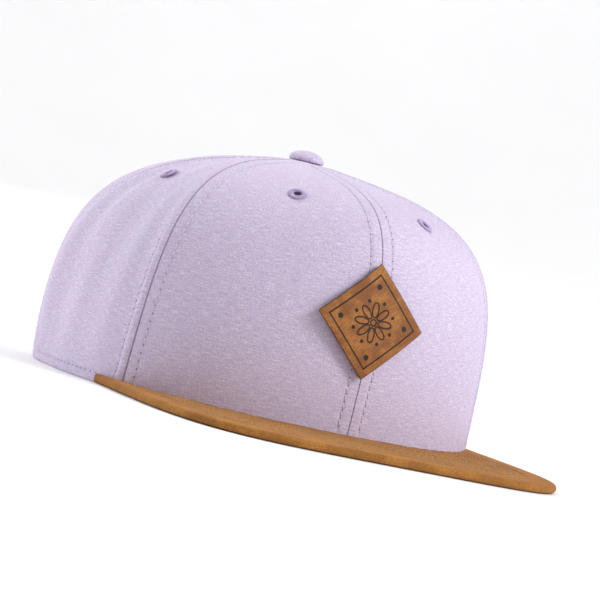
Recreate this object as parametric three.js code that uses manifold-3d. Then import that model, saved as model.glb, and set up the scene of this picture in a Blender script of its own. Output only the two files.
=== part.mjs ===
// A six-panel snapback cap with a flat suede brim, resting on its rim. Millimetres, +Z up.
// The brim points to -Y. An angle runs round the crown from the front (-Y) towards +X, in degrees.
// A rise runs up the crown wall from 0 at the rim to 1 at the middle of the top.
// A depth is measured inwards from the outer face of the crown cloth.

import * as THREE from 'three';
import { mergeVertices } from 'three/addons/utils/BufferGeometryUtils.js';
import Module from 'manifold-3d';

const wasm = await Module();
wasm.setup();

// Rim of the crown, seen from above
const RIM_HALF_WIDTH = 96.4;
const RIM_FRONT = 99.8;
const RIM_BACK = 79.4;
const RIM_FRONT_POWER = 2.1;
const RIM_BACK_POWER = 2.66;

// Crown wall and top: each station gives the wall and the top of one upright section
const CROWN_HEIGHT = 113;
const TOP_SHIFT = -1.2;
const STATIONS = [
  { angle: 0, wallHeight: 100.5, wallLean: 3.6, topReach: 0.94, topSlope: -7.8 },
  { angle: 28, wallHeight: 95.9, wallLean: 0.7, topReach: 0.812, topSlope: -7.4 },
  { angle: 56, wallHeight: 97.4, wallLean: 0, topReach: 0.846, topSlope: -8.7 },
  { angle: 90, wallHeight: 70.2, wallLean: 4, topReach: 0.844, topSlope: -7.2 },
  { angle: 125, wallHeight: 60.8, wallLean: 9.2, topReach: 0.986, topSlope: -5.9 },
  { angle: 180, wallHeight: 60.9, wallLean: 7.3, topReach: 1.026, topSlope: -5.5 },
];

// Seams between the panels: the angle at the rim, and how far it drifts by the top
const SEAMS = [
  { name: 'front_center', angle: 0, drift: 0 },
  { name: 'front_side', angle: 57.2, drift: -6.5 },
  { name: 'side_back', angle: 109.5, drift: 0 },
  { name: 'back_center', angle: 180, drift: 0 },
];
const PANELS = [
  { name: 'front', from: SEAMS[0], to: SEAMS[1] },
  { name: 'side', from: SEAMS[1], to: SEAMS[2] },
  { name: 'back', from: SEAMS[2], to: SEAMS[3] },
];
const SIDES = [
  { name: 'left', sign: -1 },
  { name: 'right', sign: 1 },
];

// The stiff front panels stand proud along their side seams, and the soft panels behind them dip
const RIDGE_HEIGHT = 1.6;
const RIDGE_SPREAD = 16;
const DIP_DEPTH = 2.1;
const SEAM_SPREAD = 5;
const RELIEF_START = 0.08;
const RELIEF_FADE = 0.25;

// Soft upright folds in the side panels
const FOLDS = [
  { angle: -69, width: 4, depth: 1.3, low: 0.1, high: 0.55 },
  { angle: -84, width: 5, depth: 1.1, low: 0.1, high: 0.6 },
  { angle: 71, width: 4, depth: 1.1, low: 0.1, high: 0.5 },
  { angle: 86, width: 5, depth: 1.2, low: 0.1, high: 0.6 },
];

// Cloth, tapes and the gap between pieces that touch
const CLOTH = 1.5;
const TAPE = 0.8;
const GAP = 0.3;
const TAPE_DEPTH = 2.15;
const SEAM_TAPE_WIDTH = 16;
const SEAM_TAPE_LOW = 27;
const SEAM_TAPE_TOP_RADIUS = 19;
const ARCH_TAPE_WIDTH = 8;

// Back opening: straight sides, then half an ellipse
const ARCH_HALF_WIDTH = 40.2;
const ARCH_SPRING = 30;
const ARCH_RISE = 31;

// Sweatband and the pale folded edge between it and the crown
const BAND_HEIGHT = 33.3;
const BAND_LIFT = 0.5;
const BAND_DEPTH = 3.25;
const BAND_THICKNESS = 1;
const BAND_HALF_GAP = 41.2;
const PIPING_DEPTH = 2;
const PIPING_THICKNESS = 0.7;
const PIPING_HALF_GAP = 52;
const PIPING_HEIGHT = 2;
const LABEL_ANGLE = 109.5;
const LABEL_WIDTH = 42;
const LABEL_LOW = 2;
const LABEL_HIGH = 32;

// Brim
const BRIM_HALF_WIDTH = 90.65;
const BRIM_REACH = 59.4;
const BRIM_POWER = 4.5;
const BRIM_THICKNESS = 3.8;
const BRIM_LIP = 1.3;
const BRIM_EDGE_ROUND = 0.9;
const BRIM_CROWN_GAP = 0.5;
const BRIM_END_WIDTH = 2;
const UNDERSIDE_THICKNESS = 1.2;

// Snap strap: pegs and holes share one row of places
const STRAP_HEIGHT = 18;
const STRAP_THICKNESS = 0.9;
const STRAP_TONGUE = 50;
const STRAP_DEPTH = 1.9;
const PEG_STRAP = { low: 2, side: -1, end: 26, lapDepth: 3.1, bendFrom: 36, bendTo: 25 };
const HOLE_STRAP = { low: 1.2, side: 1, end: 21, lapDepth: 1.9, bendFrom: 36, bendTo: 25 };
const SNAP_PITCH = 8.7;
const SNAP_OFFSET = 2.4;
const SNAP_HEIGHT = 10.6;
const PEG_PLACES = [-4, -3, -2, -1, 0, 1, 2];
const HOLE_PLACES = [-2, -1, 0, 1, 2, 3, 4];
const PEG_RADIUS = 1.2;
const PEG_LENGTH = 2.6;
const HOLE_RADIUS = 1.7;

// Top button, eyelets and patch
const TOP_RISE = 0.98;
const BUTTON_RADIUS = 8;
const BUTTON_CROWN = 4.2;
const BUTTON_SHANK = 3.9;
const EYELET_RADIUS = 4.3;
const EYELET_HOLE = 1.6;
const EYELET_HEIGHT = 0.9;
const EYELETS = [
  { name: 'front', angle: 25.2, rise: 0.587 },
  { name: 'side', angle: 83.5, rise: 0.63 },
  { name: 'back', angle: 145, rise: 0.61 },
];
const PATCH_HALF_DIAGONAL = 23.8;
const PATCH_THICKNESS = 2.2;
const PATCH_CENTRE = { across: -1.5, height: 51 };

// Fineness of the solids
const PANEL_COLUMNS = 12;
const PANEL_ROWS = 12;
const RING_STEP = 6;

const MATERIALS = {
  cloth: { color: 0xd3c7e1, roughness: 0.95 },
  suede: { color: 0xa36c32, roughness: 1 },
  underside: { color: 0xc9c4be, roughness: 0.95 },
  band: { color: 0xb4afab, roughness: 0.95 },
  piping: { color: 0xe9e4da, roughness: 0.9 },
  tape: { color: 0x3d6890, roughness: 0.6 },
  label: { color: 0x4c83a8, roughness: 0.6 },
  plastic: { color: 0x8a7c7c, roughness: 0.35 },
  leather: { color: 0x945f36, roughness: 0.85 },
};

const cap = new THREE.Group();

function addPiece(name, geometry, material) {
  const mesh = new THREE.Mesh(geometry, new THREE.MeshStandardMaterial(MATERIALS[material]));
  mesh.name = name;
  cap.add(mesh);
}

// Shape of the crown

function rimRadius(angle) {
  const radians = THREE.MathUtils.degToRad(angle);
  const cosine = Math.cos(radians);
  const reach = cosine > 0 ? RIM_FRONT : RIM_BACK;
  const power = cosine > 0 ? RIM_FRONT_POWER : RIM_BACK_POWER;
  const across = (Math.abs(Math.sin(radians)) / RIM_HALF_WIDTH) ** power;
  const along = (Math.abs(cosine) / reach) ** power;
  return (across + along) ** (-1 / power);
}

// A point at a radius from the rim's centre
function polar(angle, radius, height) {
  const radians = THREE.MathUtils.degToRad(angle);
  return new THREE.Vector3(radius * Math.sin(radians), -radius * Math.cos(radians), height);
}

// A column of the station table at any angle, eased through the stations
function stationValue(angle, column) {
  const place = Math.abs(THREE.MathUtils.euclideanModulo(angle + 180, 360) - 180);
  let index = STATIONS.findIndex((station) => station.angle > place) - 1;
  if (index < 0) index = STATIONS.length - 2;
  const tangent = (i) => {
    if (i === 0 || i === STATIONS.length - 1) return 0;
    const run = STATIONS[i + 1].angle - STATIONS[i - 1].angle;
    return (STATIONS[i + 1][column] - STATIONS[i - 1][column]) / run;
  };
  const start = STATIONS[index];
  const end = STATIONS[index + 1];
  const run = end.angle - start.angle;
  const t = (place - start.angle) / run;
  const startWeight = 2 * t ** 3 - 3 * t ** 2 + 1;
  const startPull = (t ** 3 - 2 * t ** 2 + t) * run * tangent(index);
  const endPull = (t ** 3 - t ** 2) * run * tangent(index + 1);
  return startWeight * start[column] + startPull + (1 - startWeight) * end[column] + endPull;
}

function crownBase(angle, rise) {
  const rim = rimRadius(angle);
  const reach = stationValue(angle, 'topReach') * rim;
  const slope = Math.tan(THREE.MathUtils.degToRad(stationValue(angle, 'topSlope')));
  const section = new THREE.CubicBezierCurve(
    new THREE.Vector2(rim, 0),
    new THREE.Vector2(rim + stationValue(angle, 'wallLean'), stationValue(angle, 'wallHeight')),
    new THREE.Vector2(reach, CROWN_HEIGHT + reach * slope),
    new THREE.Vector2(0, CROWN_HEIGHT),
  );
  const { x: radius, y: height } = section.getPoint(rise);
  const point = polar(angle, radius, height);
  point.y += TOP_SHIFT * rise ** 1.5;
  return point;
}

function seamAngle(seam, rise) {
  return seam.angle + seam.drift * rise;
}

// How far the cloth stands out of the smooth crown
function relief(angle, rise) {
  const fromSeam = Math.abs(angle) - seamAngle(SEAMS[1], rise);
  const fadeIn = THREE.MathUtils.clamp((rise - RELIEF_START) / RELIEF_FADE, 0, 1);
  const fade = fadeIn * Math.min((1 - rise) / RELIEF_FADE, 1);
  const near = Math.exp(-((fromSeam / SEAM_SPREAD) ** 2));
  const behind = Math.exp(-Math.max(fromSeam - SEAM_SPREAD, 0) / RIDGE_SPREAD);
  const step = fromSeam < 0
    ? RIDGE_HEIGHT * Math.exp(fromSeam / RIDGE_SPREAD)
    : RIDGE_HEIGHT * near - DIP_DEPTH * (1 - near) * behind;
  let folds = 0;
  for (const fold of FOLDS) {
    const along = (rise - fold.low) / (fold.high - fold.low);
    if (along <= 0 || along >= 1) continue;
    const across = Math.exp(-(((angle - fold.angle) / fold.width) ** 2));
    folds -= fold.depth * across * Math.sin(Math.PI * along);
  }
  return step * fade + folds;
}

function crownNormal(angle, rise) {
  const step = 0.001;
  const low = Math.min(rise, TOP_RISE);
  const round = crownBase(angle + 0.1, low).sub(crownBase(angle - 0.1, low));
  const up = crownBase(angle, low + step).sub(crownBase(angle, low));
  return round.cross(up).normalize();
}

function crownPoint(angle, rise, depth) {
  const out = relief(angle, rise) - depth;
  return crownBase(angle, rise).addScaledVector(crownNormal(angle, rise), out);
}

// The rise at which the crown stands at a height
function riseAtHeight(angle, height) {
  let low = 0;
  let high = TOP_RISE;
  for (let step = 0; step < 30; step += 1) {
    const middle = (low + high) / 2;
    if (crownBase(angle, middle).z < height) low = middle;
    else high = middle;
  }
  return (low + high) / 2;
}

// The place on the back of the crown at a distance from the middle and a height
function backPlace(across, height) {
  let angle = 180 - THREE.MathUtils.radToDeg(Math.asin(across / RIM_HALF_WIDTH));
  let rise = 0;
  for (let step = 0; step < 12; step += 1) {
    rise = riseAtHeight(angle, height);
    const base = crownBase(angle, rise);
    const radius = Math.hypot(base.x, base.y);
    angle = 180 - THREE.MathUtils.radToDeg(Math.asin(across / radius));
  }
  return { angle, rise };
}

// The angle at which the back of the rim is a distance from the middle
function rimAngle(across) {
  return Math.sign(across || 1) * backPlace(Math.abs(across), 0).angle;
}

// Solids

// An indexed geometry with its faces turned outwards
function closedGeometry(points, triangles) {
  const [a, b, c] = [new THREE.Vector3(), new THREE.Vector3(), new THREE.Vector3()];
  let volume = 0;
  for (const [i, j, k] of triangles) {
    volume += a.copy(points[i]).dot(b.copy(points[j]).cross(c.copy(points[k])));
  }
  const turned = volume > 0 ? triangles : triangles.map(([i, j, k]) => [i, k, j]);
  const geometry = new THREE.BufferGeometry().setFromPoints(points);
  geometry.setIndex(turned.flat());
  geometry.computeVertexNormals();
  return geometry;
}

// A bent sheet: place(i, j, face) gives the outer (0) and inner (1) point of each grid corner
function sheet(columns, rows, place) {
  const points = [];
  const triangles = [];
  const corner = (i, j, face) => (face * (rows + 1) + j) * (columns + 1) + i;
  const quad = (p, q, r, s) => triangles.push([p, q, r], [p, r, s]);
  for (const face of [0, 1]) {
    for (let j = 0; j <= rows; j += 1) {
      for (let i = 0; i <= columns; i += 1) points.push(place(i, j, face));
    }
  }
  for (let j = 0; j < rows; j += 1) {
    for (let i = 0; i < columns; i += 1) {
      quad(corner(i, j, 0), corner(i + 1, j, 0), corner(i + 1, j + 1, 0), corner(i, j + 1, 0));
      quad(corner(i, j, 1), corner(i, j + 1, 1), corner(i + 1, j + 1, 1), corner(i + 1, j, 1));
    }
    quad(corner(0, j, 0), corner(0, j + 1, 0), corner(0, j + 1, 1), corner(0, j, 1));
    quad(corner(columns, j, 0), corner(columns, j, 1), corner(columns, j + 1, 1), corner(columns, j + 1, 0));
  }
  for (let i = 0; i < columns; i += 1) {
    quad(corner(i, 0, 0), corner(i, 0, 1), corner(i + 1, 0, 1), corner(i + 1, 0, 0));
    quad(corner(i, rows, 0), corner(i + 1, rows, 0), corner(i + 1, rows, 1), corner(i, rows, 1));
  }
  return closedGeometry(points, triangles);
}

function toManifold(geometry) {
  const bare = geometry.clone();
  bare.deleteAttribute('normal');
  bare.deleteAttribute('uv');
  const merged = mergeVertices(bare, 1e-4);
  const vertProperties = new Float32Array(merged.attributes.position.array);
  const triVerts = new Uint32Array(merged.index.array);
  return new wasm.Manifold(new wasm.Mesh({ numProp: 3, vertProperties, triVerts }));
}

function fromManifold(solid) {
  const mesh = solid.getMesh();
  const geometry = new THREE.BufferGeometry();
  geometry.setAttribute('position', new THREE.BufferAttribute(mesh.vertProperties, 3));
  geometry.setIndex(new THREE.BufferAttribute(mesh.triVerts, 1));
  geometry.computeVertexNormals();
  return geometry;
}

// A round pin whose axis runs through a point
function pin(radius, length, centre, axis) {
  const geometry = new THREE.CylinderGeometry(radius, radius, length, 12);
  const turn = new THREE.Quaternion().setFromUnitVectors(new THREE.Vector3(0, 1, 0), axis);
  geometry.applyQuaternion(turn);
  geometry.translate(centre.x, centre.y, centre.z);
  return geometry;
}

// Crown panels

// The lower corner of the back opening lies on the rim, and its edge climbs to the middle
function archEdge(along, offset) {
  const halfWidth = ARCH_HALF_WIDTH + offset;
  const straight = 0.35;
  if (along < straight) return backPlace(halfWidth, ARCH_SPRING * (along / straight));
  const turn = ((along - straight) / (1 - straight)) * (Math.PI / 2);
  const height = ARCH_SPRING + (ARCH_RISE + offset) * Math.sin(turn);
  return backPlace(halfWidth * Math.cos(turn), height);
}

// Columns lie closer together near the seams
function columnShare(column) {
  return (1 - Math.cos((Math.PI * column) / PANEL_COLUMNS)) / 2;
}

// Angle that clears half a gap at a place on the crown
function gapAngle(angle, rise) {
  const base = crownBase(angle, rise);
  return THREE.MathUtils.radToDeg(GAP / 2 / Math.hypot(base.x, base.y));
}

function panelGeometry(panel, sign) {
  return sheet(PANEL_COLUMNS, PANEL_ROWS, (column, row, face) => {
    const rise = TOP_RISE * (row / PANEL_ROWS);
    const start = seamAngle(panel.from, rise);
    const end = seamAngle(panel.to, rise);
    const from = start + gapAngle(start, rise);
    const to = end - gapAngle(end, rise);
    const angle = sign * (from + (to - from) * columnShare(column));
    return crownPoint(angle, rise, face * CLOTH);
  });
}

// A block that fills the back opening, to be cut out of the back panels
function archBlock() {
  const shape = new THREE.Shape();
  shape.moveTo(ARCH_HALF_WIDTH, -CLOTH);
  shape.lineTo(ARCH_HALF_WIDTH, ARCH_SPRING);
  shape.absellipse(0, ARCH_SPRING, ARCH_HALF_WIDTH, ARCH_RISE, 0, Math.PI);
  shape.lineTo(-ARCH_HALF_WIDTH, -CLOTH);
  const geometry = new THREE.ExtrudeGeometry(shape, {
    depth: RIM_BACK,
    bevelEnabled: false,
    curveSegments: 24,
  });
  geometry.rotateX(Math.PI / 2);
  geometry.translate(0, RIM_BACK * 1.5, 0);
  return geometry;
}

function eyeletPlace(eyelet, sign) {
  const angle = sign * eyelet.angle;
  const normal = crownNormal(angle, eyelet.rise);
  return { angle, normal, centre: crownPoint(angle, eyelet.rise, 0) };
}

function addPanels() {
  const arch = toManifold(archBlock());
  for (const panel of PANELS) {
    const eyelet = EYELETS.find((candidate) => candidate.name === panel.name);
    for (const side of SIDES) {
      const { normal, centre } = eyeletPlace(eyelet, side.sign);
      const hole = toManifold(pin(EYELET_HOLE, CLOTH * 4, centre, normal));
      let solid = toManifold(panelGeometry(panel, side.sign)).subtract(hole);
      if (panel.name === 'back') solid = solid.subtract(arch);
      addPiece(`${panel.name}_${side.name}_panel`, fromManifold(solid), 'cloth');
    }
  }
}

function addEyelets() {
  const inner = EYELET_HOLE;
  const outer = EYELET_RADIUS;
  const profile = [
    new THREE.Vector2(inner, 0),
    new THREE.Vector2(outer, 0),
    new THREE.Vector2(outer - 0.5, EYELET_HEIGHT),
    new THREE.Vector2(inner + 0.4, EYELET_HEIGHT),
    new THREE.Vector2(inner, 0),
  ];
  for (const eyelet of EYELETS) {
    for (const side of SIDES) {
      const { normal, centre } = eyeletPlace(eyelet, side.sign);
      const geometry = new THREE.LatheGeometry(profile, 12);
      const turn = new THREE.Quaternion().setFromUnitVectors(new THREE.Vector3(0, 1, 0), normal);
      geometry.applyQuaternion(turn);
      const seat = centre.clone().addScaledVector(normal, GAP + 0.1);
      geometry.translate(seat.x, seat.y, seat.z);
      addPiece(`eyelet_${eyelet.name}_${side.name}`, fromManifold(toManifold(geometry)), 'cloth');
    }
  }
}

function addButton() {
  const seat = CROWN_HEIGHT + GAP;
  const profile = [new THREE.Vector2(0, seat - CLOTH - 1.6)];
  profile.push(new THREE.Vector2(BUTTON_SHANK, seat - CLOTH - 1.6));
  profile.push(new THREE.Vector2(BUTTON_SHANK, seat - 0.4));
  profile.push(new THREE.Vector2(BUTTON_RADIUS, seat - 0.9));
  const domeSteps = 5;
  for (let step = 1; step < domeSteps; step += 1) {
    const turn = (step / domeSteps) * (Math.PI / 2);
    const height = seat + BUTTON_CROWN * Math.sin(turn);
    profile.push(new THREE.Vector2(BUTTON_RADIUS * Math.cos(turn), height));
  }
  profile.push(new THREE.Vector2(0, seat + BUTTON_CROWN));
  const geometry = new THREE.LatheGeometry(profile, 20);
  geometry.rotateX(Math.PI / 2);
  geometry.translate(0, TOP_SHIFT, 0);
  addPiece('top_button', fromManifold(toManifold(geometry)), 'cloth');
}

// Tapes inside the crown

function addSeamTapes() {
  const columns = 4;
  const rows = 9;
  const topRise = riseAtRadius(SEAM_TAPE_TOP_RADIUS);
  for (const seam of SEAMS) {
    const isBack = seam.angle === 180;
    const lowHeight = isBack ? ARCH_SPRING + ARCH_RISE + ARCH_TAPE_WIDTH + 2 * GAP : SEAM_TAPE_LOW;
    const lowRise = riseAtHeight(seam.angle, lowHeight);
    const single = seam.angle === 0 || isBack;
    for (const side of single ? [{ name: '', sign: 1 }] : SIDES) {
      const geometry = sheet(columns, rows, (column, row, face) => {
        const rise = lowRise + (topRise - lowRise) * (row / rows);
        const middle = seamAngle(seam, rise);
        const base = crownBase(middle, rise);
        const across = SEAM_TAPE_WIDTH * (column / columns - 0.5);
        const turn = THREE.MathUtils.radToDeg(across / Math.hypot(base.x, base.y));
        return crownPoint(side.sign * (middle + turn), rise, TAPE_DEPTH + face * TAPE);
      });
      const suffix = single ? '' : `_${side.name}`;
      addPiece(`seam_tape_${seam.name}${suffix}`, geometry, 'tape');
    }
  }
}

function riseAtRadius(radius) {
  let low = 0.5;
  let high = TOP_RISE;
  for (let step = 0; step < 30; step += 1) {
    const middle = (low + high) / 2;
    const base = crownBase(90, middle);
    if (Math.hypot(base.x, base.y) > radius) low = middle;
    else high = middle;
  }
  return (low + high) / 2;
}

function addArchTape() {
  const columns = 32;
  const start = 0.25;
  const geometry = sheet(columns, 2, (column, row, face) => {
    const share = (column / columns) * 2 - 1;
    const along = start + (1 - start) * (1 - Math.abs(share));
    const edge = archEdge(along, GAP + (row / 2) * (ARCH_TAPE_WIDTH - GAP));
    const sign = share < 0 ? -1 : 1;
    return crownPoint(sign * edge.angle, edge.rise, TAPE_DEPTH + face * TAPE);
  });
  addPiece('arch_tape', geometry, 'tape');
}

// Pieces that follow the rim

// How far the crown leans or folds in over the rim at a height
function inwardLean(angle, height) {
  const wall = crownPoint(angle, riseAtHeight(angle, height), 0);
  return Math.max(rimRadius(angle) - Math.hypot(wall.x, wall.y), 0);
}

// An upright strip along the rim, from one angle through the front to another
function rimStrip(columns, rows, span, height, depth, thickness) {
  return sheet(columns, rows, (column, row, face) => {
    const angle = span[0] + (span[1] - span[0]) * (column / columns);
    const z = height[0] + (height[1] - height[0]) * (row / rows);
    return rimInset(angle, depth + face * thickness + inwardLean(angle, z), z);
  });
}

// A point at a depth inside the rim, measured square to it
function rimInset(angle, depth, height) {
  const step = 0.1;
  const ahead = polar(angle + step, rimRadius(angle + step), height);
  const behind = polar(angle - step, rimRadius(angle - step), height);
  const tangent = ahead.sub(behind).normalize();
  const outward = new THREE.Vector3(tangent.y, -tangent.x, 0);
  return polar(angle, rimRadius(angle), height).addScaledVector(outward, -depth);
}

function addSweatband() {
  const end = rimAngle(BAND_HALF_GAP);
  const columns = Math.round((2 * end) / RING_STEP);
  const height = [BAND_LIFT, BAND_HEIGHT];
  const geometry = rimStrip(columns, 2, [-end, end], height, BAND_DEPTH, BAND_THICKNESS);
  addPiece('sweatband', geometry, 'band');
}

function addPiping() {
  const end = rimAngle(PIPING_HALF_GAP);
  const columns = Math.round((2 * end) / RING_STEP);
  const height = [0.2, PIPING_HEIGHT];
  const geometry = rimStrip(columns, 1, [-end, end], height, PIPING_DEPTH, PIPING_THICKNESS);
  addPiece('rim_piping', geometry, 'piping');
}

function addLabel() {
  const turn = THREE.MathUtils.radToDeg(LABEL_WIDTH / 2 / rimRadius(LABEL_ANGLE));
  const span = [LABEL_ANGLE - turn, LABEL_ANGLE + turn];
  const depth = BAND_DEPTH + BAND_THICKNESS + GAP + 0.1;
  const geometry = rimStrip(8, 2, span, [LABEL_LOW, LABEL_HIGH], depth, TAPE);
  addPiece('inner_label', geometry, 'label');
}

// Snap strap

function strapDepth(strap, across) {
  const place = across * strap.side;
  const t = THREE.MathUtils.clamp((strap.bendFrom - place) / (strap.bendFrom - strap.bendTo), 0, 1);
  const eased = t * t * (3 - 2 * t);
  return STRAP_DEPTH + (strap.lapDepth - STRAP_DEPTH) * eased;
}

// A strap with one round end, from its tongue under the sweatband across the opening
function strapGeometry(strap) {
  const columns = 24;
  const roundColumns = 6;
  const middle = strap.low + STRAP_HEIGHT / 2;
  const half = STRAP_HEIGHT / 2;
  const roundStart = -(strap.end - half);
  const place = (column) => {
    if (column > columns - roundColumns) {
      const turn = ((column - columns + roundColumns) / roundColumns) * THREE.MathUtils.degToRad(80);
      return { across: roundStart - half * Math.sin(turn), halfHeight: half * Math.cos(turn) };
    }
    const share = column / (columns - roundColumns);
    return { across: STRAP_TONGUE + (roundStart - STRAP_TONGUE) * share, halfHeight: half };
  };
  return sheet(columns, 2, (column, row, face) => {
    const { across, halfHeight } = place(column);
    const x = across * strap.side;
    const depth = strapDepth(strap, x) + face * STRAP_THICKNESS;
    return rimInset(rimAngle(x), depth, middle + halfHeight * (row - 1));
  });
}

function snapPin(strap, place, radius, length, start) {
  const x = SNAP_OFFSET + SNAP_PITCH * place;
  const angle = rimAngle(x);
  const outer = rimInset(angle, 0, SNAP_HEIGHT);
  const inner = rimInset(angle, 1, SNAP_HEIGHT);
  const outward = outer.clone().sub(inner);
  const depth = strapDepth(strap, x) - length / 2 + start;
  return pin(radius, length, outer.addScaledVector(outward, -depth), outward);
}

function addStraps() {
  let pegStrap = toManifold(strapGeometry(PEG_STRAP));
  for (const place of PEG_PLACES) {
    const peg = snapPin(PEG_STRAP, place, PEG_RADIUS, PEG_LENGTH, STRAP_THICKNESS / 2);
    pegStrap = pegStrap.add(toManifold(peg));
  }
  addPiece('peg_strap', fromManifold(pegStrap), 'plastic');
  let holeStrap = toManifold(strapGeometry(HOLE_STRAP));
  for (const place of HOLE_PLACES) {
    const length = 4 * STRAP_THICKNESS;
    const hole = snapPin(HOLE_STRAP, place, HOLE_RADIUS, length, length / 2 + STRAP_THICKNESS / 2);
    holeStrap = holeStrap.subtract(toManifold(hole));
  }
  addPiece('hole_strap', fromManifold(holeStrap), 'plastic');
}

// Brim

// The brim from above: its outer edge less a margin, and the front of the rim past a gap
function brimShape(margin, crownGap) {
  const root = polar(67.25, rimRadius(67.25), 0).y;
  const halfWidth = BRIM_HALF_WIDTH - margin;
  const reach = root + RIM_FRONT + BRIM_REACH - margin;
  const innerPoint = (angle) => rimInset(angle, -crownGap, 0);
  const outerAcross = (y) => halfWidth * (1 - ((root - y) / reach) ** BRIM_POWER) ** (1 / BRIM_POWER);
  let end = 67;
  while (outerAcross(innerPoint(end).y) - innerPoint(end).x < BRIM_END_WIDTH) end -= 0.25;
  const startShare = (root - innerPoint(end).y) / reach;
  const startTurn = Math.asin(startShare ** (BRIM_POWER / 2));
  const shape = new THREE.Shape();
  const outerSteps = 44;
  for (let step = 0; step <= outerSteps; step += 1) {
    const turn = startTurn + (Math.PI - 2 * startTurn) * (step / outerSteps);
    const cosine = Math.cos(turn);
    const x = halfWidth * Math.sign(cosine) * Math.abs(cosine) ** (2 / BRIM_POWER);
    const y = root - reach * Math.sin(turn) ** (2 / BRIM_POWER);
    if (step === 0) shape.moveTo(x, y);
    else shape.lineTo(x, y);
  }
  const innerSteps = 26;
  for (let step = 0; step <= innerSteps; step += 1) {
    const { x, y } = innerPoint(-end + 2 * end * (step / innerSteps));
    shape.lineTo(x, y);
  }
  shape.closePath();
  return shape;
}

function plate(shape, low, high, round) {
  const geometry = new THREE.ExtrudeGeometry(shape, {
    depth: high - low - 2 * round,
    bevelEnabled: round > 0,
    bevelThickness: round,
    bevelSize: round,
    bevelOffset: -round,
    bevelSegments: 1,
  });
  geometry.translate(0, 0, low + round);
  return geometry;
}

function addBrim() {
  const body = toManifold(plate(brimShape(0, BRIM_CROWN_GAP), 0.1, BRIM_THICKNESS, BRIM_EDGE_ROUND));
  const pocket = toManifold(plate(brimShape(BRIM_LIP, -BRIM_CROWN_GAP), -1, UNDERSIDE_THICKNESS + GAP, 0));
  addPiece('brim_cover', fromManifold(body.subtract(pocket)), 'suede');
  const underside = plate(brimShape(BRIM_LIP + GAP, BRIM_CROWN_GAP), 0, UNDERSIDE_THICKNESS, 0);
  addPiece('brim_underside', fromManifold(toManifold(underside)), 'underside');
}

// Patch set on its corner on the front of the crown
function addPatch() {
  const cells = 10;
  const geometry = sheet(cells, cells, (column, row, face) => {
    const u = (column / cells) * 2 - 1;
    const v = (row / cells) * 2 - 1;
    const across = PATCH_CENTRE.across + (PATCH_HALF_DIAGONAL * (u - v)) / 2;
    const height = PATCH_CENTRE.height + (PATCH_HALF_DIAGONAL * (u + v)) / 2;
    const angle = THREE.MathUtils.radToDeg(across / (RIM_FRONT + 1));
    const depth = -(2 * GAP + (1 - face) * PATCH_THICKNESS);
    return crownPoint(angle, riseAtHeight(angle, height), depth);
  });
  addPiece('front_patch', geometry, 'leather');
}

addPanels();
addEyelets();
addButton();
addSeamTapes();
addArchTape();
addSweatband();
addPiping();
addLabel();
addStraps();
addBrim();
addPatch();

// The origin is under the middle of the cap's length, on the surface that it rests on
const box = new THREE.Box3().setFromObject(cap);
cap.position.set(-(box.min.x + box.max.x) / 2, -(box.min.y + box.max.y) / 2, 0);

export default cap;
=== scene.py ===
# %% [markdown]
# # Dressing a snapback cap
# A solid model gives this cap its pieces at their real size. This lesson dresses it: lilac slub
# cloth, a suede brim, a twill sweatband, woven tapes, a snap strap and an engraved leather patch.
# Each step says what the piece is on the real cap, how it could be made, and why this way is used.

# %% Load the solid model
import math

import bpy
import numpy as np
from mathutils import Matrix, Vector


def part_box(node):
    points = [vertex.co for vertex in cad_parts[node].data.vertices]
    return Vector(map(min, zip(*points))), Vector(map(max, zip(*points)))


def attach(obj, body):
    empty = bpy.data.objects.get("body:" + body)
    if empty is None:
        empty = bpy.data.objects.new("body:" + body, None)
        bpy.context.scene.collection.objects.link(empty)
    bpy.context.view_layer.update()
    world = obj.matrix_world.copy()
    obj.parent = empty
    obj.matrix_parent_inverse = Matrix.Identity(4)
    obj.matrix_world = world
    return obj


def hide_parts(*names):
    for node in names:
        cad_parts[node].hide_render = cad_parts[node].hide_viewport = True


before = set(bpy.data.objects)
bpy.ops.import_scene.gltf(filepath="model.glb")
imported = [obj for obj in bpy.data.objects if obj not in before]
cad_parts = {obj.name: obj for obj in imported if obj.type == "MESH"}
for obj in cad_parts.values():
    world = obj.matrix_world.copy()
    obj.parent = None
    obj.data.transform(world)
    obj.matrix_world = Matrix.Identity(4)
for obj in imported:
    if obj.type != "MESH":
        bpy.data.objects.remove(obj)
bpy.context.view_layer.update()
MM = 0.001
print(len(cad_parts), "nodes in the solid model")

# %% [markdown]
# ## The shape of the crown
# The crown is six sewn gores, and every fine piece has to lie on the same surface as the solids.
# A copy of the solids' own mesh could be smoothed, but it is coarse. So the named sizes of the crown
# are repeated here, and one formula gives a point of the cloth for an angle round the crown, from the
# front towards +X, and a rise up its wall, from 0 at the rim to 1 at the top. Sizes are in millimetres.

# %% Sizes of the crown
RIM_HALF_WIDTH = 96.4
RIM_FRONT = 99.8
RIM_BACK = 79.4
RIM_FRONT_POWER = 2.1
RIM_BACK_POWER = 2.66
CROWN_HEIGHT = 113
TOP_SHIFT = -1.2
TOP_RISE = 0.98
STATIONS = [
    {"angle": 0, "wall_height": 100.5, "wall_lean": 3.6, "top_reach": 0.94, "top_slope": -7.8},
    {"angle": 28, "wall_height": 95.9, "wall_lean": 0.7, "top_reach": 0.812, "top_slope": -7.4},
    {"angle": 56, "wall_height": 97.4, "wall_lean": 0, "top_reach": 0.846, "top_slope": -8.7},
    {"angle": 90, "wall_height": 70.2, "wall_lean": 4, "top_reach": 0.844, "top_slope": -7.2},
    {"angle": 125, "wall_height": 60.8, "wall_lean": 9.2, "top_reach": 0.986, "top_slope": -5.9},
    {"angle": 180, "wall_height": 60.9, "wall_lean": 7.3, "top_reach": 1.026, "top_slope": -5.5},
]
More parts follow.
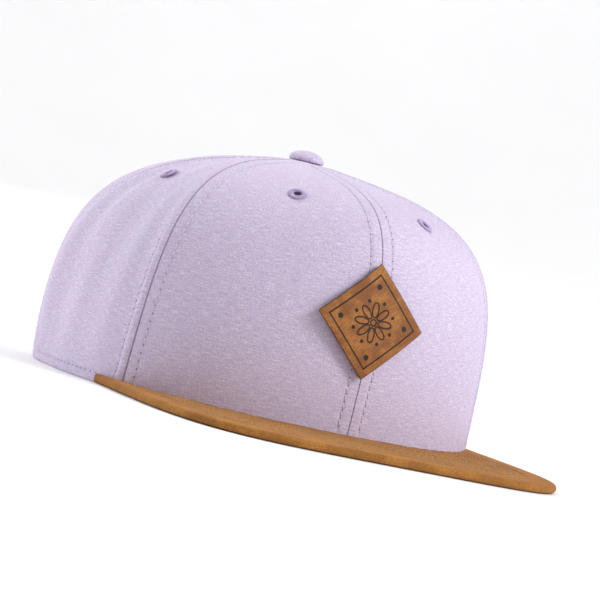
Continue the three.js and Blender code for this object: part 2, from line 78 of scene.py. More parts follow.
SEAMS = [
    {"name": "front_center", "angle": 0, "drift": 0, "paired": False},
    {"name": "front_side", "angle": 57.2, "drift": -6.5, "paired": True},
    {"name": "side_back", "angle": 109.5, "drift": 0, "paired": True},
    {"name": "back_center", "angle": 180, "drift": 0, "paired": False},
]
PANELS = [
    {"name": "front", "from": SEAMS[0], "to": SEAMS[1]},
    {"name": "side", "from": SEAMS[1], "to": SEAMS[2]},
    {"name": "back", "from": SEAMS[2], "to": SEAMS[3]},
]
SIDES = [("left", -1), ("right", 1)]
BRIM_REACH = 59.4
ARCH_HALF_WIDTH = 40.2
ARCH_SPRING = 30
ARCH_RISE = 31

brim_low, brim_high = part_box("brim_cover")
RIM_CENTRE_X = (brim_low.x + brim_high.x) / 2 / MM
RIM_CENTRE_Y = brim_low.y / MM + RIM_FRONT + BRIM_REACH
print("middle of the rim:", round(RIM_CENTRE_X, 2), round(RIM_CENTRE_Y, 2))

# %% The smooth crown
def rim_radius(angle):
    radians = np.radians(angle)
    front = np.cos(radians) > 0
    reach = np.where(front, RIM_FRONT, RIM_BACK)
    power = np.where(front, RIM_FRONT_POWER, RIM_BACK_POWER)
    across = (np.abs(np.sin(radians)) / RIM_HALF_WIDTH) ** power
    along = (np.abs(np.cos(radians)) / reach) ** power
    return (across + along) ** (-1 / power)


def station_value(angle, column):
    """A column of the table at any angle, eased through the stations."""
    place = np.abs((np.asarray(angle, float) + 180) % 360 - 180)
    angles = np.array([station["angle"] for station in STATIONS], float)
    values = np.array([station[column] for station in STATIONS], float)
    tangents = np.zeros(len(values))
    tangents[1:-1] = (values[2:] - values[:-2]) / (angles[2:] - angles[:-2])
    index = np.clip(np.searchsorted(angles, place, side="right") - 1, 0, len(values) - 2)
    run = angles[index + 1] - angles[index]
    t = (place - angles[index]) / run
    start = 2 * t**3 - 3 * t**2 + 1
    pull = (t**3 - 2 * t**2 + t) * tangents[index] + (t**3 - t**2) * tangents[index + 1]
    return start * values[index] + (1 - start) * values[index + 1] + run * pull


def crown_section(angle, rise):
    """Distance from the crown's axis, and height, of the smooth crown."""
    rim = rim_radius(angle)
    reach = station_value(angle, "top_reach") * rim
    slope = np.tan(np.radians(station_value(angle, "top_slope")))
    fall = 1 - rise
    weights = (fall**3, 3 * fall**2 * rise, 3 * fall * rise**2, rise**3)
    radii = (rim, rim + station_value(angle, "wall_lean"), reach, 0)
    heights = (0, station_value(angle, "wall_height"), CROWN_HEIGHT + reach * slope, CROWN_HEIGHT)
    radius = sum(weight * value for weight, value in zip(weights, radii))
    height = sum(weight * value for weight, value in zip(weights, heights))
    return radius, height


def crown_base(angle, rise):
    radius, height = crown_section(angle, rise)
    x = RIM_CENTRE_X + radius * np.sin(np.radians(angle))
    y = RIM_CENTRE_Y - radius * np.cos(np.radians(angle)) + TOP_SHIFT * np.clip(rise, 0, 1) ** 1.5
    return np.stack([x, y, height], axis=-1)


def unit(vectors):
    return vectors / np.linalg.norm(vectors, axis=-1, keepdims=True)


def crown_normal(angle, rise):
    low = np.clip(rise, 0, TOP_RISE)
    turn, climb = 0.1, 0.001
    round_step = crown_base(angle + turn, low) - crown_base(angle - turn, low)
    up_step = crown_base(angle, low + climb) - crown_base(angle, low)
    return unit(np.cross(round_step, up_step))

# %% Lengths and heights up the wall
LENGTH_ANGLES = 91
LENGTH_RISES = 401
table_angle, table_rise = np.meshgrid(
    np.linspace(0, 180, LENGTH_ANGLES), np.linspace(0, 1, LENGTH_RISES), indexing="ij"
)
wall_steps = np.linalg.norm(np.diff(crown_base(table_angle, table_rise), axis=1), axis=2)
WALL_LENGTHS = np.pad(np.cumsum(wall_steps, axis=1), ((0, 0), (1, 0)))


def crown_length(angle, rise):
    """Length of cloth from the rim up to a rise."""
    row = np.clip(np.abs(angle) / 180 * (LENGTH_ANGLES - 1), 0, LENGTH_ANGLES - 1.001)
    column = np.clip(rise, 0, 1) * (LENGTH_RISES - 1.001)
    i, j = row.astype(int), column.astype(int)
    s, t = row - i, column - j
    near = WALL_LENGTHS[i, j] * (1 - t) + WALL_LENGTHS[i, j + 1] * t
    far = WALL_LENGTHS[i + 1, j] * (1 - t) + WALL_LENGTHS[i + 1, j + 1] * t
    return near * (1 - s) + far * s


def solve_rise(measure, target):
    """The rise at which a measure that grows up the wall reaches its target, by halving."""
    low = np.zeros_like(target)
    high = np.full_like(target, TOP_RISE)
    for _ in range(26):
        middle = (low + high) / 2
        below = measure(middle) < target
        low = np.where(below, middle, low)
        high = np.where(below, high, middle)
    return (low + high) / 2


def rise_at_length(angle, length):
    angle, length = np.broadcast_arrays(np.asarray(angle, float), np.asarray(length, float))
    return solve_rise(lambda rise: crown_length(angle, rise), length)


def rise_at_height(angle, height):
    angle, height = np.broadcast_arrays(np.asarray(angle, float), np.asarray(height, float))
    return solve_rise(lambda rise: crown_section(angle, rise)[1], height)


def back_place(across, height):
    """Angle and rise on the back of the crown, at a distance from the middle and a height."""
    across, height = np.broadcast_arrays(np.asarray(across, float), np.asarray(height, float))
    reach = np.abs(across)
    angle = 180 - np.degrees(np.arcsin(reach / RIM_HALF_WIDTH))
    for _ in range(12):
        rise = rise_at_height(angle, height)
        radius = crown_section(angle, rise)[0]
        angle = 180 - np.degrees(np.arcsin(np.clip(reach / radius, 0, 1)))
    return np.where(across < 0, -angle, angle), rise


print("wall length, front and back:", np.round(crown_length(np.array([0.0, 180.0]), 1.0), 1), "mm")

# %% [markdown]
# ## The relief of sewn cloth
# The stiff front gores stand proud of their side seams and the soft gores behind them dip and fold.
# Along each seam the turned edges make a low swelling, and two rows of topstitching pull a trough
# into it. A cloth simulation could find such forms, but it would lose the crown's measured outline.
# So each effect is a small named term of the distance from its seam, added along the surface normal.

# %% Relief of the cloth
RIDGE_HEIGHT = 1.6
RIDGE_SPREAD = 16
DIP_DEPTH = 2.1
SEAM_SPREAD = 5
RELIEF_START = 0.08
RELIEF_FADE = 0.25
FOLDS = [
    {"angle": -70, "width": 4, "depth": 2.1, "low": 0.06, "high": 0.8},
    {"angle": -86, "width": 4.5, "depth": 1.8, "low": 0.06, "high": 0.75},
    {"angle": 71, "width": 4, "depth": 1.5, "low": 0.1, "high": 0.5},
    {"angle": 86, "width": 5, "depth": 1.5, "low": 0.1, "high": 0.6},
]
SOFT_WAVE = 1.35
SOFT_FROM = {"angle": 60, "fade": 12}
CALM_BACK = {"angle": 105, "fade": 25, "share": 0.4}
STITCH_OFFSET = 5
SEAM_SWELL = 0.3
SEAM_SWELL_REACH = 5.6
CORD_SWELL = 0.75
STITCH_TROUGH = 0.28
TROUGH_WIDTH = 0.65
PUCKER_HEIGHT = 0.1
PUCKER_LENGTH = 7.4
PUCKER_SPREAD = 2.6
CORD_WIDTH = STITCH_OFFSET - 0.3
SEAM_END_RADIUS = 7
SEAM_END_FADE = 4
RIM_FADE = 1.5
RIM_STITCH_HEIGHT = 4
ARCH_STITCH_OFFSETS = (1.9, 6.6)
ARCH_ROWS_END = ARCH_STITCH_OFFSETS[1] + 1
ARCH_MEASURE_OFFSET = 4
FRONT_LIFT = 2.4
BRIM_END_ANGLE = 65.6
BRIM_END_FADE = 1.5


def seam_angle(seam, rise):
    return seam["angle"] + seam["drift"] * rise


def main_relief(angle, rise):
    """How far the cloth stands out of the smooth crown: ridges, dips, folds and soft waves."""
    from_seam = np.abs(angle) - seam_angle(SEAMS[1], rise)
    fade_in = np.clip((rise - RELIEF_START) / RELIEF_FADE, 0, 1)
    fade = fade_in * np.minimum((1 - rise) / RELIEF_FADE, 1)
    near = np.exp(-((from_seam / SEAM_SPREAD) ** 2))
    behind = np.exp(-np.maximum(from_seam - SEAM_SPREAD, 0) / RIDGE_SPREAD)
    front = RIDGE_HEIGHT * np.exp(np.minimum(from_seam, 0) / RIDGE_SPREAD)
    back = RIDGE_HEIGHT * near - DIP_DEPTH * (1 - near) * behind
    folds = 0
    for fold in FOLDS:
        along = np.clip((rise - fold["low"]) / (fold["high"] - fold["low"]), 0, 1)
        across = np.exp(-(((angle - fold["angle"]) / fold["width"]) ** 2))
        folds = folds - fold["depth"] * across * np.sin(np.pi * along)
    softness = np.clip((np.abs(angle) - SOFT_FROM["angle"]) / SOFT_FROM["fade"], 0, 1)
    softness = softness * np.sin(np.pi * np.clip(rise * 1.15, 0, 1)) ** 0.7
    calm = np.clip((np.abs(angle) - CALM_BACK["angle"]) / CALM_BACK["fade"], 0, 1)
    softness = softness * (1 - CALM_BACK["share"] * calm)
    wave = np.sin(0.36 * angle + 2.6 * rise) + 0.7 * np.sin(0.17 * angle - 6.3 * rise + 1.1)
    return np.where(from_seam < 0, front, back) * fade + folds + SOFT_WAVE * softness * wave


def arch_clearance(across, height):
    """How far outside the edge of the back opening a place lies. Inside it is negative."""
    side = np.abs(across) - ARCH_HALF_WIDTH
    x = across / ARCH_HALF_WIDTH
    z = (height - ARCH_SPRING) / ARCH_RISE
    steepness = np.hypot(x / ARCH_HALF_WIDTH, z / ARCH_RISE)
    round_part = (x**2 + z**2 - 1) / 2 / np.maximum(steepness, 0.004)
    return np.where(height < ARCH_SPRING, side, round_part)


def arch_length(across, height):
    """Length round the back opening, midway between its rows: 0 at its top, growing towards +X."""
    turns = np.linspace(0, np.pi / 2, 400)
    half_width = ARCH_HALF_WIDTH + ARCH_MEASURE_OFFSET
    rise = ARCH_RISE + ARCH_MEASURE_OFFSET
    steps = np.hypot(half_width * np.diff(np.cos(turns)), rise * np.diff(np.sin(turns)))
    lengths = np.concatenate([[0], np.cumsum(steps)])
    turn = np.arctan2(np.maximum(height - ARCH_SPRING, 0) / rise, np.abs(across) / half_width)
    from_spring = np.interp(turn, turns, lengths) - np.maximum(ARCH_SPRING - height, 0)
    return np.sign(across) * (lengths[-1] - from_spring)


def rim_lift(angle):
    """Over the brim the cloth ends above the brim's underside, which leaves a dark groove."""
    return FRONT_LIFT * np.clip((BRIM_END_ANGLE - np.abs(angle)) / BRIM_END_FADE, 0, 1)


def trough(distance, depth=STITCH_TROUGH, width=TROUGH_WIDTH):
    """The trough that a row of stitches pulls into cloth."""
    return -depth * np.exp(-((distance / width) ** 2))


def fine_relief(angle, rise):
    """Swellings, stitch troughs and puckers along the seams, the rim and the back opening."""
    place = np.abs(angle)
    radius = crown_section(angle, rise)[0]
    length = crown_length(angle, rise)
    total = 0
    for number, seam in enumerate(SEAMS):
        signed = np.radians(place - seam_angle(seam, rise)) * radius
        distance = np.abs(signed)
        swell = SEAM_SWELL * np.exp(-((distance / SEAM_SWELL_REACH) ** 8))
        wave = np.sin(2 * np.pi * length / PUCKER_LENGTH + 1.7 * number + np.sign(signed))
        pucker = PUCKER_HEIGHT * wave * np.exp(-(((distance - STITCH_OFFSET) / PUCKER_SPREAD) ** 2))
        total = total + swell + pucker + trough(distance - STITCH_OFFSET)
        if seam["name"] == "front_side":
            band = np.clip(signed / CORD_WIDTH, 0, 1)
            total = total + CORD_SWELL * np.sin(np.pi * band) ** 0.8
    total = total * np.clip((radius - SEAM_END_RADIUS) / SEAM_END_FADE, 0, 1)
    total = total + trough(length - RIM_STITCH_HEIGHT) * (rim_lift(angle) == 0)
    return total * np.clip(length / RIM_FADE, 0, 1)


def cloth_point(angle, rise, depth=0.0):
    """A point at a depth below the outer face of the crown's cloth."""
    out = main_relief(angle, rise) + fine_relief(angle, rise) - depth
    return crown_base(angle, rise) + crown_normal(angle, rise) * out[..., None]

# %% [markdown]
# ## Tools of the workshop
# Almost every piece is cloth, leather or tape, which is a sheet. A grid primitive is the natural
# blank for a sheet: it is added with the wanted number of rows and columns, its corners are moved to
# their places, and Solidify and Bevel give it a wall and soft edges. Small helpers keep each step short.

# %% Helpers for sheets
def deselect():
    bpy.ops.object.select_all(action="DESELECT")


def activate(piece):
    deselect()
    piece.select_set(True)
    bpy.context.view_layer.objects.active = piece


def read_points(piece):
    points = np.empty(len(piece.data.vertices) * 3, np.float32)
    piece.data.vertices.foreach_get("co", points)
    return points.reshape(-1, 3)


def write_points(piece, points):
    piece.data.vertices.foreach_set("co", np.asarray(points, np.float32).ravel())
    piece.data.update()


def set_uv(piece, name, values):
    """Gives each corner the two values of its vertex, as a UV map that is measured in mm."""
    layer = piece.data.uv_layers.new(name=name)
    corners = np.empty(len(piece.data.loops), np.int32)
    piece.data.loops.foreach_get("vertex_index", corners)
    layer.data.foreach_set("uv", np.asarray(values, np.float32)[corners].ravel())


def grid_sheet(name, points, outward, **uv_maps):
    """A grid primitive with its corners at points, an array of rows x columns x 3. The primitive
    numbers its corners row by row as well. outward says roughly where each corner's face looks."""
    rows, columns = points.shape[0] - 1, points.shape[1] - 1
    deselect()
    bpy.ops.mesh.primitive_grid_add(x_subdivisions=columns, y_subdivisions=rows, size=1)
    sheet = bpy.context.object
    sheet.name = sheet.data.name = name
    write_points(sheet, points * MM)
    sheet.data.uv_layers.remove(sheet.data.uv_layers[0])
    for uv_name, values in uv_maps.items():
        both = [np.broadcast_to(value, points.shape[:2]) for value in values]
        set_uv(sheet, uv_name, np.stack(both, axis=-1).reshape(-1, 2))
    normals = np.empty(points.size, np.float32)
    sheet.data.vertex_normals.foreach_get("vector", normals)
    if np.sum(normals.reshape(points.shape) * outward) < 0:
        sheet.data.flip_normals()
    return sheet


def apply_modifier(piece, kind, **settings):
    modifier = piece.modifiers.new(kind.lower(), kind)
    for key, value in settings.items():
        setattr(modifier, key, value)
    activate(piece)
    bpy.ops.object.modifier_apply(modifier=modifier.name)


def thicken(sheet, thickness, rounding=0.0, segments=2, angle=60):
    """Gives a sheet its wall, inwards from its face, and can round the edges sharper than an angle."""
    apply_modifier(sheet, "SOLIDIFY", thickness=thickness * MM, offset=-1, use_rim=True)
    if rounding:
        limit = {"limit_method": "ANGLE", "angle_limit": math.radians(angle)}
        apply_modifier(sheet, "BEVEL", width=rounding * MM, segments=segments, **limit)


def clear_selection(piece):
    """Selects nothing, so that faces can then be selected in code."""
    activate(piece)
    bpy.ops.object.mode_set(mode="EDIT")
    bpy.ops.mesh.select_mode(type="FACE")
    bpy.ops.mesh.select_all(action="DESELECT")
    bpy.ops.object.mode_set(mode="OBJECT")


def delete_faces(piece, doomed):
    """Deletes the faces that a list of true and false marks."""
    clear_selection(piece)
    piece.data.polygons.foreach_set("select", np.asarray(doomed, bool))
    bpy.ops.object.mode_set(mode="EDIT")
    bpy.ops.mesh.delete(type="FACE")
    bpy.ops.object.mode_set(mode="OBJECT")


def face_centres(piece):
    centres = np.empty(len(piece.data.polygons) * 3, np.float32)
    piece.data.polygons.foreach_get("center", centres)
    return centres.reshape(-1, 3) / MM


def finish_piece(piece, material, nodes=(), smooth_angle=40):
    piece.data.materials.clear()
    piece.data.materials.append(material)
    activate(piece)
    bpy.ops.object.shade_smooth_by_angle(angle=math.radians(smooth_angle))
    if nodes:
        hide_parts(*nodes)
    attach(piece, "root")

# %% [markdown]
# ## Tools for materials
# Cloth is threads over and under each other, suede is a nap brushed both ways, leather a grain. Image
# textures would fix one resolution, so all of them are procedural. Most read a UV map that is measured
# in millimetres, so that a thread is as thick on one piece as on the next and runs with the cloth.

# %% Helpers for materials
def paint(red, green, blue):
    """A colour named by its screen values from 0 to 255, as the linear values that a shader takes."""
    shares = [value / 255 for value in (red, green, blue)]
    linear = [s / 12.92 if s <= 0.04045 else ((s + 0.055) / 1.055) ** 2.4 for s in shares]
    return (*linear, 1.0)


def new_material(name, **sockets):
    material = bpy.data.materials.new(name)
    material.use_nodes = True
    tree = material.node_tree
    shader = tree.nodes["Principled BSDF"]
    for key, value in sockets.items():
        shader.inputs[key.replace("_", " ").title()].default_value = value
    return material, tree, shader


def add_node(tree, kind, inputs=(), **settings):
    made = tree.nodes.new(kind)
    for key, value in settings.items():
        setattr(made, key, value)
    for key, value in dict(inputs).items():
        if isinstance(value, bpy.types.NodeSocket):
            tree.links.new(value, made.inputs[key])
        else:
            made.inputs[key].default_value = value
    return made


def calc(tree, operation, *values):
    made = add_node(tree, "ShaderNodeMath", enumerate(values), operation=operation)
    return made.outputs[0]


def mix_colours(tree, share, first, second, mode="MIX"):
    inputs = {0: share, 6: first, 7: second}
    made = add_node(tree, "ShaderNodeMix", inputs, data_type="RGBA", blend_type=mode)
    return made.outputs[2]


def uv_places(tree, name):
    """The two values of a UV map, in mm."""
    source = add_node(tree, "ShaderNodeUVMap", uv_map=name)
    parts = add_node(tree, "ShaderNodeSeparateXYZ", {0: source.outputs[0]})
    return parts.outputs[0], parts.outputs[1]


def object_places(tree):
    source = add_node(tree, "ShaderNodeTexCoord")
    return source.outputs["Object"]


def noise(tree, u, v, across, up, detail):
    """Noise whose marks are 1 / across mm wide and 1 / up mm high."""
    x = calc(tree, "MULTIPLY", u, across)
    y = calc(tree, "MULTIPLY", v, up)
    vector = add_node(tree, "ShaderNodeCombineXYZ", {0: x, 1: y})
    inputs = {"Vector": vector.outputs[0], "Scale": 1.0, "Detail": detail}
    return add_node(tree, "ShaderNodeTexNoise", inputs, noise_dimensions="2D").outputs[0]


def space_noise(tree, scale, detail=2.0, roughness=0.5):
    """Noise in space, with scale marks to the metre."""
    inputs = {"Vector": object_places(tree), "Scale": scale, "Detail": detail, "Roughness": roughness}
    return add_node(tree, "ShaderNodeTexNoise", inputs).outputs[0]


def ramp(tree, value, low, high, start=0.0, end=1.0):
    """Goes smoothly from start to end as the value goes from low to high."""
    inputs = {0: value, 1: low, 2: high, 3: start, 4: end}
    return add_node(tree, "ShaderNodeMapRange", inputs, interpolation_type="SMOOTHSTEP").outputs[0]


def ridges(tree, value, pitch):
    """Rounded ridges a pitch apart: 0 in the furrows between them, 1 on top."""
    return calc(tree, "ABSOLUTE", calc(tree, "SINE", calc(tree, "MULTIPLY", value, math.pi / pitch)))


def gap_from(tree, value, place):
    return calc(tree, "ABSOLUTE", calc(tree, "SUBTRACT", value, place))


def plain_weave(tree, u, v, pitch):
    """Height of a plain weave from 0 to 1, and which thread is on top: 0 for the upright one."""
    x = calc(tree, "DIVIDE", u, pitch)
    y = calc(tree, "DIVIDE", v, pitch)
    upright = ridges(tree, x, 1)
    level = ridges(tree, y, 1)
    cells = calc(tree, "ADD", calc(tree, "FLOOR", x), calc(tree, "FLOOR", y))
    on_top = calc(tree, "FLOORED_MODULO", cells, 2.0)
    gap = calc(tree, "SUBTRACT", level, upright)
    height = calc(tree, "MULTIPLY_ADD", gap, on_top, upright)
    return height, on_top


NEEDLE_HOLE = 0.45


def needle_holes(tree, distance, along, offset, pitch):
    """1 in the needle holes between the stitches of a row, and 0 away from them."""
    across = calc(tree, "SUBTRACT", distance, offset)
    past = calc(tree, "PINGPONG", along, pitch / 2)
    square = calc(tree, "MULTIPLY_ADD", past, past, calc(tree, "MULTIPLY", across, across))
    return ramp(tree, calc(tree, "SQRT", square), NEEDLE_HOLE * 0.45, NEEDLE_HOLE, 1.0, 0.0)


def connect(tree, shader, colour, height=None, roughness=None):
    """Height is the relief in mm."""
    tree.links.new(colour, shader.inputs["Base Color"])
    if roughness is not None:
        tree.links.new(roughness, shader.inputs["Roughness"])
    if height is not None:
        bump = add_node(tree, "ShaderNodeBump", {"Height": height, "Distance": MM, "Strength": 1.0})
        tree.links.new(bump.outputs[0], shader.inputs["Normal"])

# %% [markdown]
# ## Lilac slub cloth
# The crown's cloth is a fine plain weave of pale and violet threads. Its level threads swell here and
# there into slubs, which show as short level streaks. The weave comes from two sine waves that take
# turns on top, and the slubs from noise that is drawn out along the threads. Three more UV maps give
# the distance from the nearest seam, the rim and the back opening, for the needle holes of their rows.
# Shade is painted into the low places of the weave, into the needle holes and along the seam grooves.

# %% Material of the crown
STITCH_PITCH = 3.4
THREAD_PITCH = 0.42
cloth, tree, shader = new_material(
    "lilac_slub_cloth", roughness=0.92, sheen_weight=0.25, sheen_roughness=0.5
)
shader.inputs["Sheen Tint"].default_value = paint(246, 240, 255)
across, up = uv_places(tree, "cloth")
weave, level_on_top = plain_weave(tree, across, up, THREAD_PITCH)
level_slubs = noise(tree, across, up, 0.22, 3.0, 4.0)
upright_slubs = noise(tree, across, up, 3.0, 0.5, 3.0)
speckle = noise(tree, across, up, 1.5, 2.4, 3.0)
patches = noise(tree, across, up, 0.045, 0.06, 3.0)
base = mix_colours(tree, level_on_top, paint(198, 181, 217), paint(229, 217, 238))
base = mix_colours(tree, ramp(tree, level_slubs, 0.42, 0.64, 0.0, 0.8), base, paint(245, 239, 250))
base = mix_colours(tree, ramp(tree, upright_slubs, 0.45, 0.68, 0.0, 0.5), base, paint(184, 166, 206))
base = mix_colours(tree, ramp(tree, speckle, 0.38, 0.6, 0.42, 0.0), base, paint(178, 158, 198))
base = mix_colours(tree, ramp(tree, patches, 0.35, 0.7, 0.0, 0.1), base, paint(206, 194, 223))
# Painted shade: the low places between the threads are darkened.
painted_weave_shade = ramp(tree, weave, 0.0, 0.5, 0.82, 1.0)
grey = add_node(tree, "ShaderNodeCombineColor", {0: painted_weave_shade, 1: painted_weave_shade, 2: painted_weave_shade})
base = mix_colours(tree, 1.0, base, grey.outputs[0], "MULTIPLY")
seam_distance, seam_along = uv_places(tree, "seam")
rim_distance, rim_along = uv_places(tree, "rim")
arch_distance, arch_along = uv_places(tree, "opening")
holes = needle_holes(tree, seam_distance, seam_along, STITCH_OFFSET, STITCH_PITCH)
off_arch = ramp(tree, arch_distance, ARCH_ROWS_END - 0.1, ARCH_ROWS_END)
holes = calc(tree, "MULTIPLY", holes, off_arch)
other_rows = [(rim_distance, rim_along, RIM_STITCH_HEIGHT)]
other_rows += [(arch_distance, arch_along, offset) for offset in ARCH_STITCH_OFFSETS]
for distance, along, offset in other_rows:
    holes = calc(tree, "MAXIMUM", holes, needle_holes(tree, distance, along, offset, STITCH_PITCH))
# Painted shade in the needle holes, which the bump below also sinks.
base = mix_colours(tree, calc(tree, "MULTIPLY", holes, 0.75), base, paint(104, 80, 124))
# Painted shade in the groove of each seam.
crease = ramp(tree, seam_distance, 0.1, 0.5, 0.4, 0.0)
base = mix_colours(tree, crease, base, paint(112, 84, 128))
relief = calc(tree, "MULTIPLY_ADD", weave, 0.05, calc(tree, "MULTIPLY", level_slubs, 0.12))
relief = calc(tree, "MULTIPLY_ADD", upright_slubs, 0.08, relief)
relief = calc(tree, "MULTIPLY_ADD", holes, -0.25, relief)
for offset in ARCH_STITCH_OFFSETS:
    furrow = ramp(tree, gap_from(tree, arch_distance, offset), 0.2, 1.1, 0.25, 0.0)
    relief = calc(tree, "SUBTRACT", relief, furrow)
connect(tree, shader, base, relief)

# %% [markdown]
# ## Crown gores
# A gore is a wedge of cloth from the rim to the button, sewn to its neighbours face to face, so its
# edges turn sharply inwards at each seam. A flat sheet with a painted seam would look printed. Here
# each gore is a grid whose columns crowd towards its seams, and whose outer columns follow a quarter
# circle and a short tail into the crown. The rim turns in the same way. Solidify then adds the wall.

# %% Crown gores
MIDDLE_COLUMNS = 42
WALL_ROWS = 76
RIM_ROWS = 8
PANEL_GAP = 0.06
SEAM_ROLL = 0.45
SEAM_TAIL = 0.5
SEAM_TURN_COLUMNS = 6
SEAM_COLUMNS = [
    0.6, 1, 1.6, 2.3, 3, 3.6, 4.1, 4.45, 4.7, 4.85, 5, 5.15, 5.3, 5.55, 5.9, 6.4, 7.1, 8, 9.2,
]
MOST_SEAM_SHARE = 0.4
RIM_HEIGHTS = [1.2, 1.8, 2.5, 3.1, 3.5, 3.75, 3.9, 4, 4.1, 4.25, 4.5, 4.9, 5.5, 6.5, 8]
RIM_ROLL = 0.8
RIM_TAIL = 0.9
WALL = 1.2
EDGE_WALL_SHARE = 0.45
EDGE_WALL_REACH = 3
RIM_WALL_GROWTH = 1000
OPENING_MERGE = 0.25
LOWEST_CLOTH = 0.05
EYELET_HOLE = 2.9
FAR_AWAY = 50
EYELETS = [
    {"name": "front", "angle": 25.2, "rise": 0.587},
    {"name": "side", "angle": 83.5, "rise": 0.63},
    {"name": "back", "angle": 145, "rise": 0.61},
]


def roll(path, radius, tail):
    """Where cloth lies that turns in over a rounded edge: how far from the edge, and how deep."""
    turn = np.clip((path - tail) / radius, 0, np.pi / 2)
    past = np.maximum(path - tail - radius * np.pi / 2, 0)
    inset = radius * (1 - np.cos(turn)) + past
    depth = radius * (1 - np.sin(turn)) + np.maximum(tail - path, 0)
    return inset, depth


def panel_grid(panel):
    """Angle, rise and depth of each corner of a gore on the +X side, its distance from the nearest
    seam, and the angle of the gore's middle."""
    edge_path = np.linspace(0, RIM_TAIL + RIM_ROLL * np.pi / 2, RIM_ROWS + 1)
    edge_height, edge_depth = roll(edge_path, RIM_ROLL, RIM_TAIL)
    climb = np.linspace(0, 1, WALL_ROWS + 1)[1:]
    low = np.concatenate([edge_height, RIM_HEIGHTS, np.full(WALL_ROWS, RIM_HEIGHTS[-1])])[:, None]
    climb = np.concatenate([np.zeros(len(low) - WALL_ROWS), climb])[:, None]
    rim_depth = np.concatenate([edge_depth, np.zeros(len(low) - len(edge_depth))])[:, None]

    def row_rise(angle):
        start = low + rim_lift(angle)
        whole = crown_length(angle, TOP_RISE)
        return rise_at_length(angle, start + (whole - start) * climb)

    ends = []
    for seam in (panel["from"], panel["to"]):
        angle = np.full(low.shape, float(seam["angle"]))
        for _ in range(4):
            rise = row_rise(angle)
            angle = seam_angle(seam, rise)
        ends.append((angle, rise))
    (left, left_rise), (right, right_rise) = ends
    radius = crown_section((left + right) / 2, (left_rise + right_rise) / 2)[0]
    width = np.radians(right - left) * radius - PANEL_GAP
    spare = SEAM_TAIL + SEAM_ROLL * (np.pi / 2 - 1)
    turned = np.linspace(0, SEAM_TAIL + SEAM_ROLL * np.pi / 2, SEAM_TURN_COLUMNS + 1)
    edge = np.concatenate([turned, np.array(SEAM_COLUMNS) - PANEL_GAP / 2 + spare])[None, :]
    whole = width + 2 * spare
    edge = edge * np.minimum(1, MOST_SEAM_SHARE * whole / edge[0, -1])
    middle_share = np.linspace(0, 1, MIDDLE_COLUMNS + 1)[None, 1:-1]
    inner = edge[:, -1:] + (whole - 2 * edge[:, -1:]) * middle_share
    path = np.concatenate([edge, inner, whole - edge[:, ::-1]], axis=1)
    left_inset, left_depth = roll(path, SEAM_ROLL, SEAM_TAIL)
    right_inset, right_depth = roll(whole - path, SEAM_ROLL, SEAM_TAIL)
    is_left = path < whole / 2
    inset = np.where(is_left, left_inset, width - right_inset) + PANEL_GAP / 2
    angle = left + (right - left) * inset / (width + PANEL_GAP)
    rise = row_rise(angle)
    depth = np.where(is_left, left_depth, right_depth) + rim_depth
    gap = np.minimum(inset, width + PANEL_GAP - inset)
    return angle, rise, depth, gap, (left + right) / 2


def to_clearance(x, z, clearance):
    """Moves places square to the edge of the back opening until they clear it by a distance."""
    step = 0.01
    for _ in range(5):
        here = arch_clearance(x, z)
        slope_x = (arch_clearance(x + step, z) - here) / step
        slope_z = (arch_clearance(x, z + step) - here) / step
        size = np.maximum(slope_x**2 + slope_z**2, 1e-6)
        x = x - (here - clearance) * slope_x / size
        z = z - (here - clearance) * slope_z / size
    return x, z


def snap_to_opening(piece, across, height):
    """Cuts the back opening: corners just inside it move to its edge, and faces inside it go."""
    across, height = across.ravel(), height.ravel()
    inside = arch_clearance(across, height) < 0
    corners = np.array([tuple(face.vertices) for face in piece.data.polygons])
    doomed = inside[corners].all(axis=1)
    kept = np.zeros(len(across), bool)
    kept[corners[~doomed].ravel()] = True
    moving = np.nonzero(kept & inside)[0]
    x, z = to_clearance(across[moving], height[moving], 0)
    x = np.where(x * np.sign(across.mean()) < 0, 0, x)
    angle, rise = back_place(x, np.maximum(z, LOWEST_CLOTH))
    points = read_points(piece)
    points[moving] = cloth_point(angle, rise) * MM
    write_points(piece, points)
    piece.vertex_groups.new(name="edge").add(moving.tolist(), 1, "REPLACE")
    delete_faces(piece, doomed)
    bpy.ops.object.mode_set(mode="EDIT")
    bpy.ops.mesh.select_mode(type="VERT")
    bpy.ops.mesh.select_all(action="DESELECT")
    bpy.ops.object.vertex_group_set_active(group="edge")
    bpy.ops.object.vertex_group_select()
    bpy.ops.mesh.remove_doubles(threshold=OPENING_MERGE * MM)
    bpy.ops.object.mode_set(mode="OBJECT")


def set_wall_weight(piece, seam_distance, rim_distance):
    """Thins the wall towards the turned edges, where the cloth doubles back on itself."""
    group = piece.vertex_groups.new(name="wall")
    edge = np.minimum(seam_distance, rim_distance).ravel()
    weights = np.clip(EDGE_WALL_SHARE + edge / EDGE_WALL_REACH, EDGE_WALL_SHARE, 1)
    for index, weight in enumerate(weights):
        group.add([index], float(weight), "REPLACE")


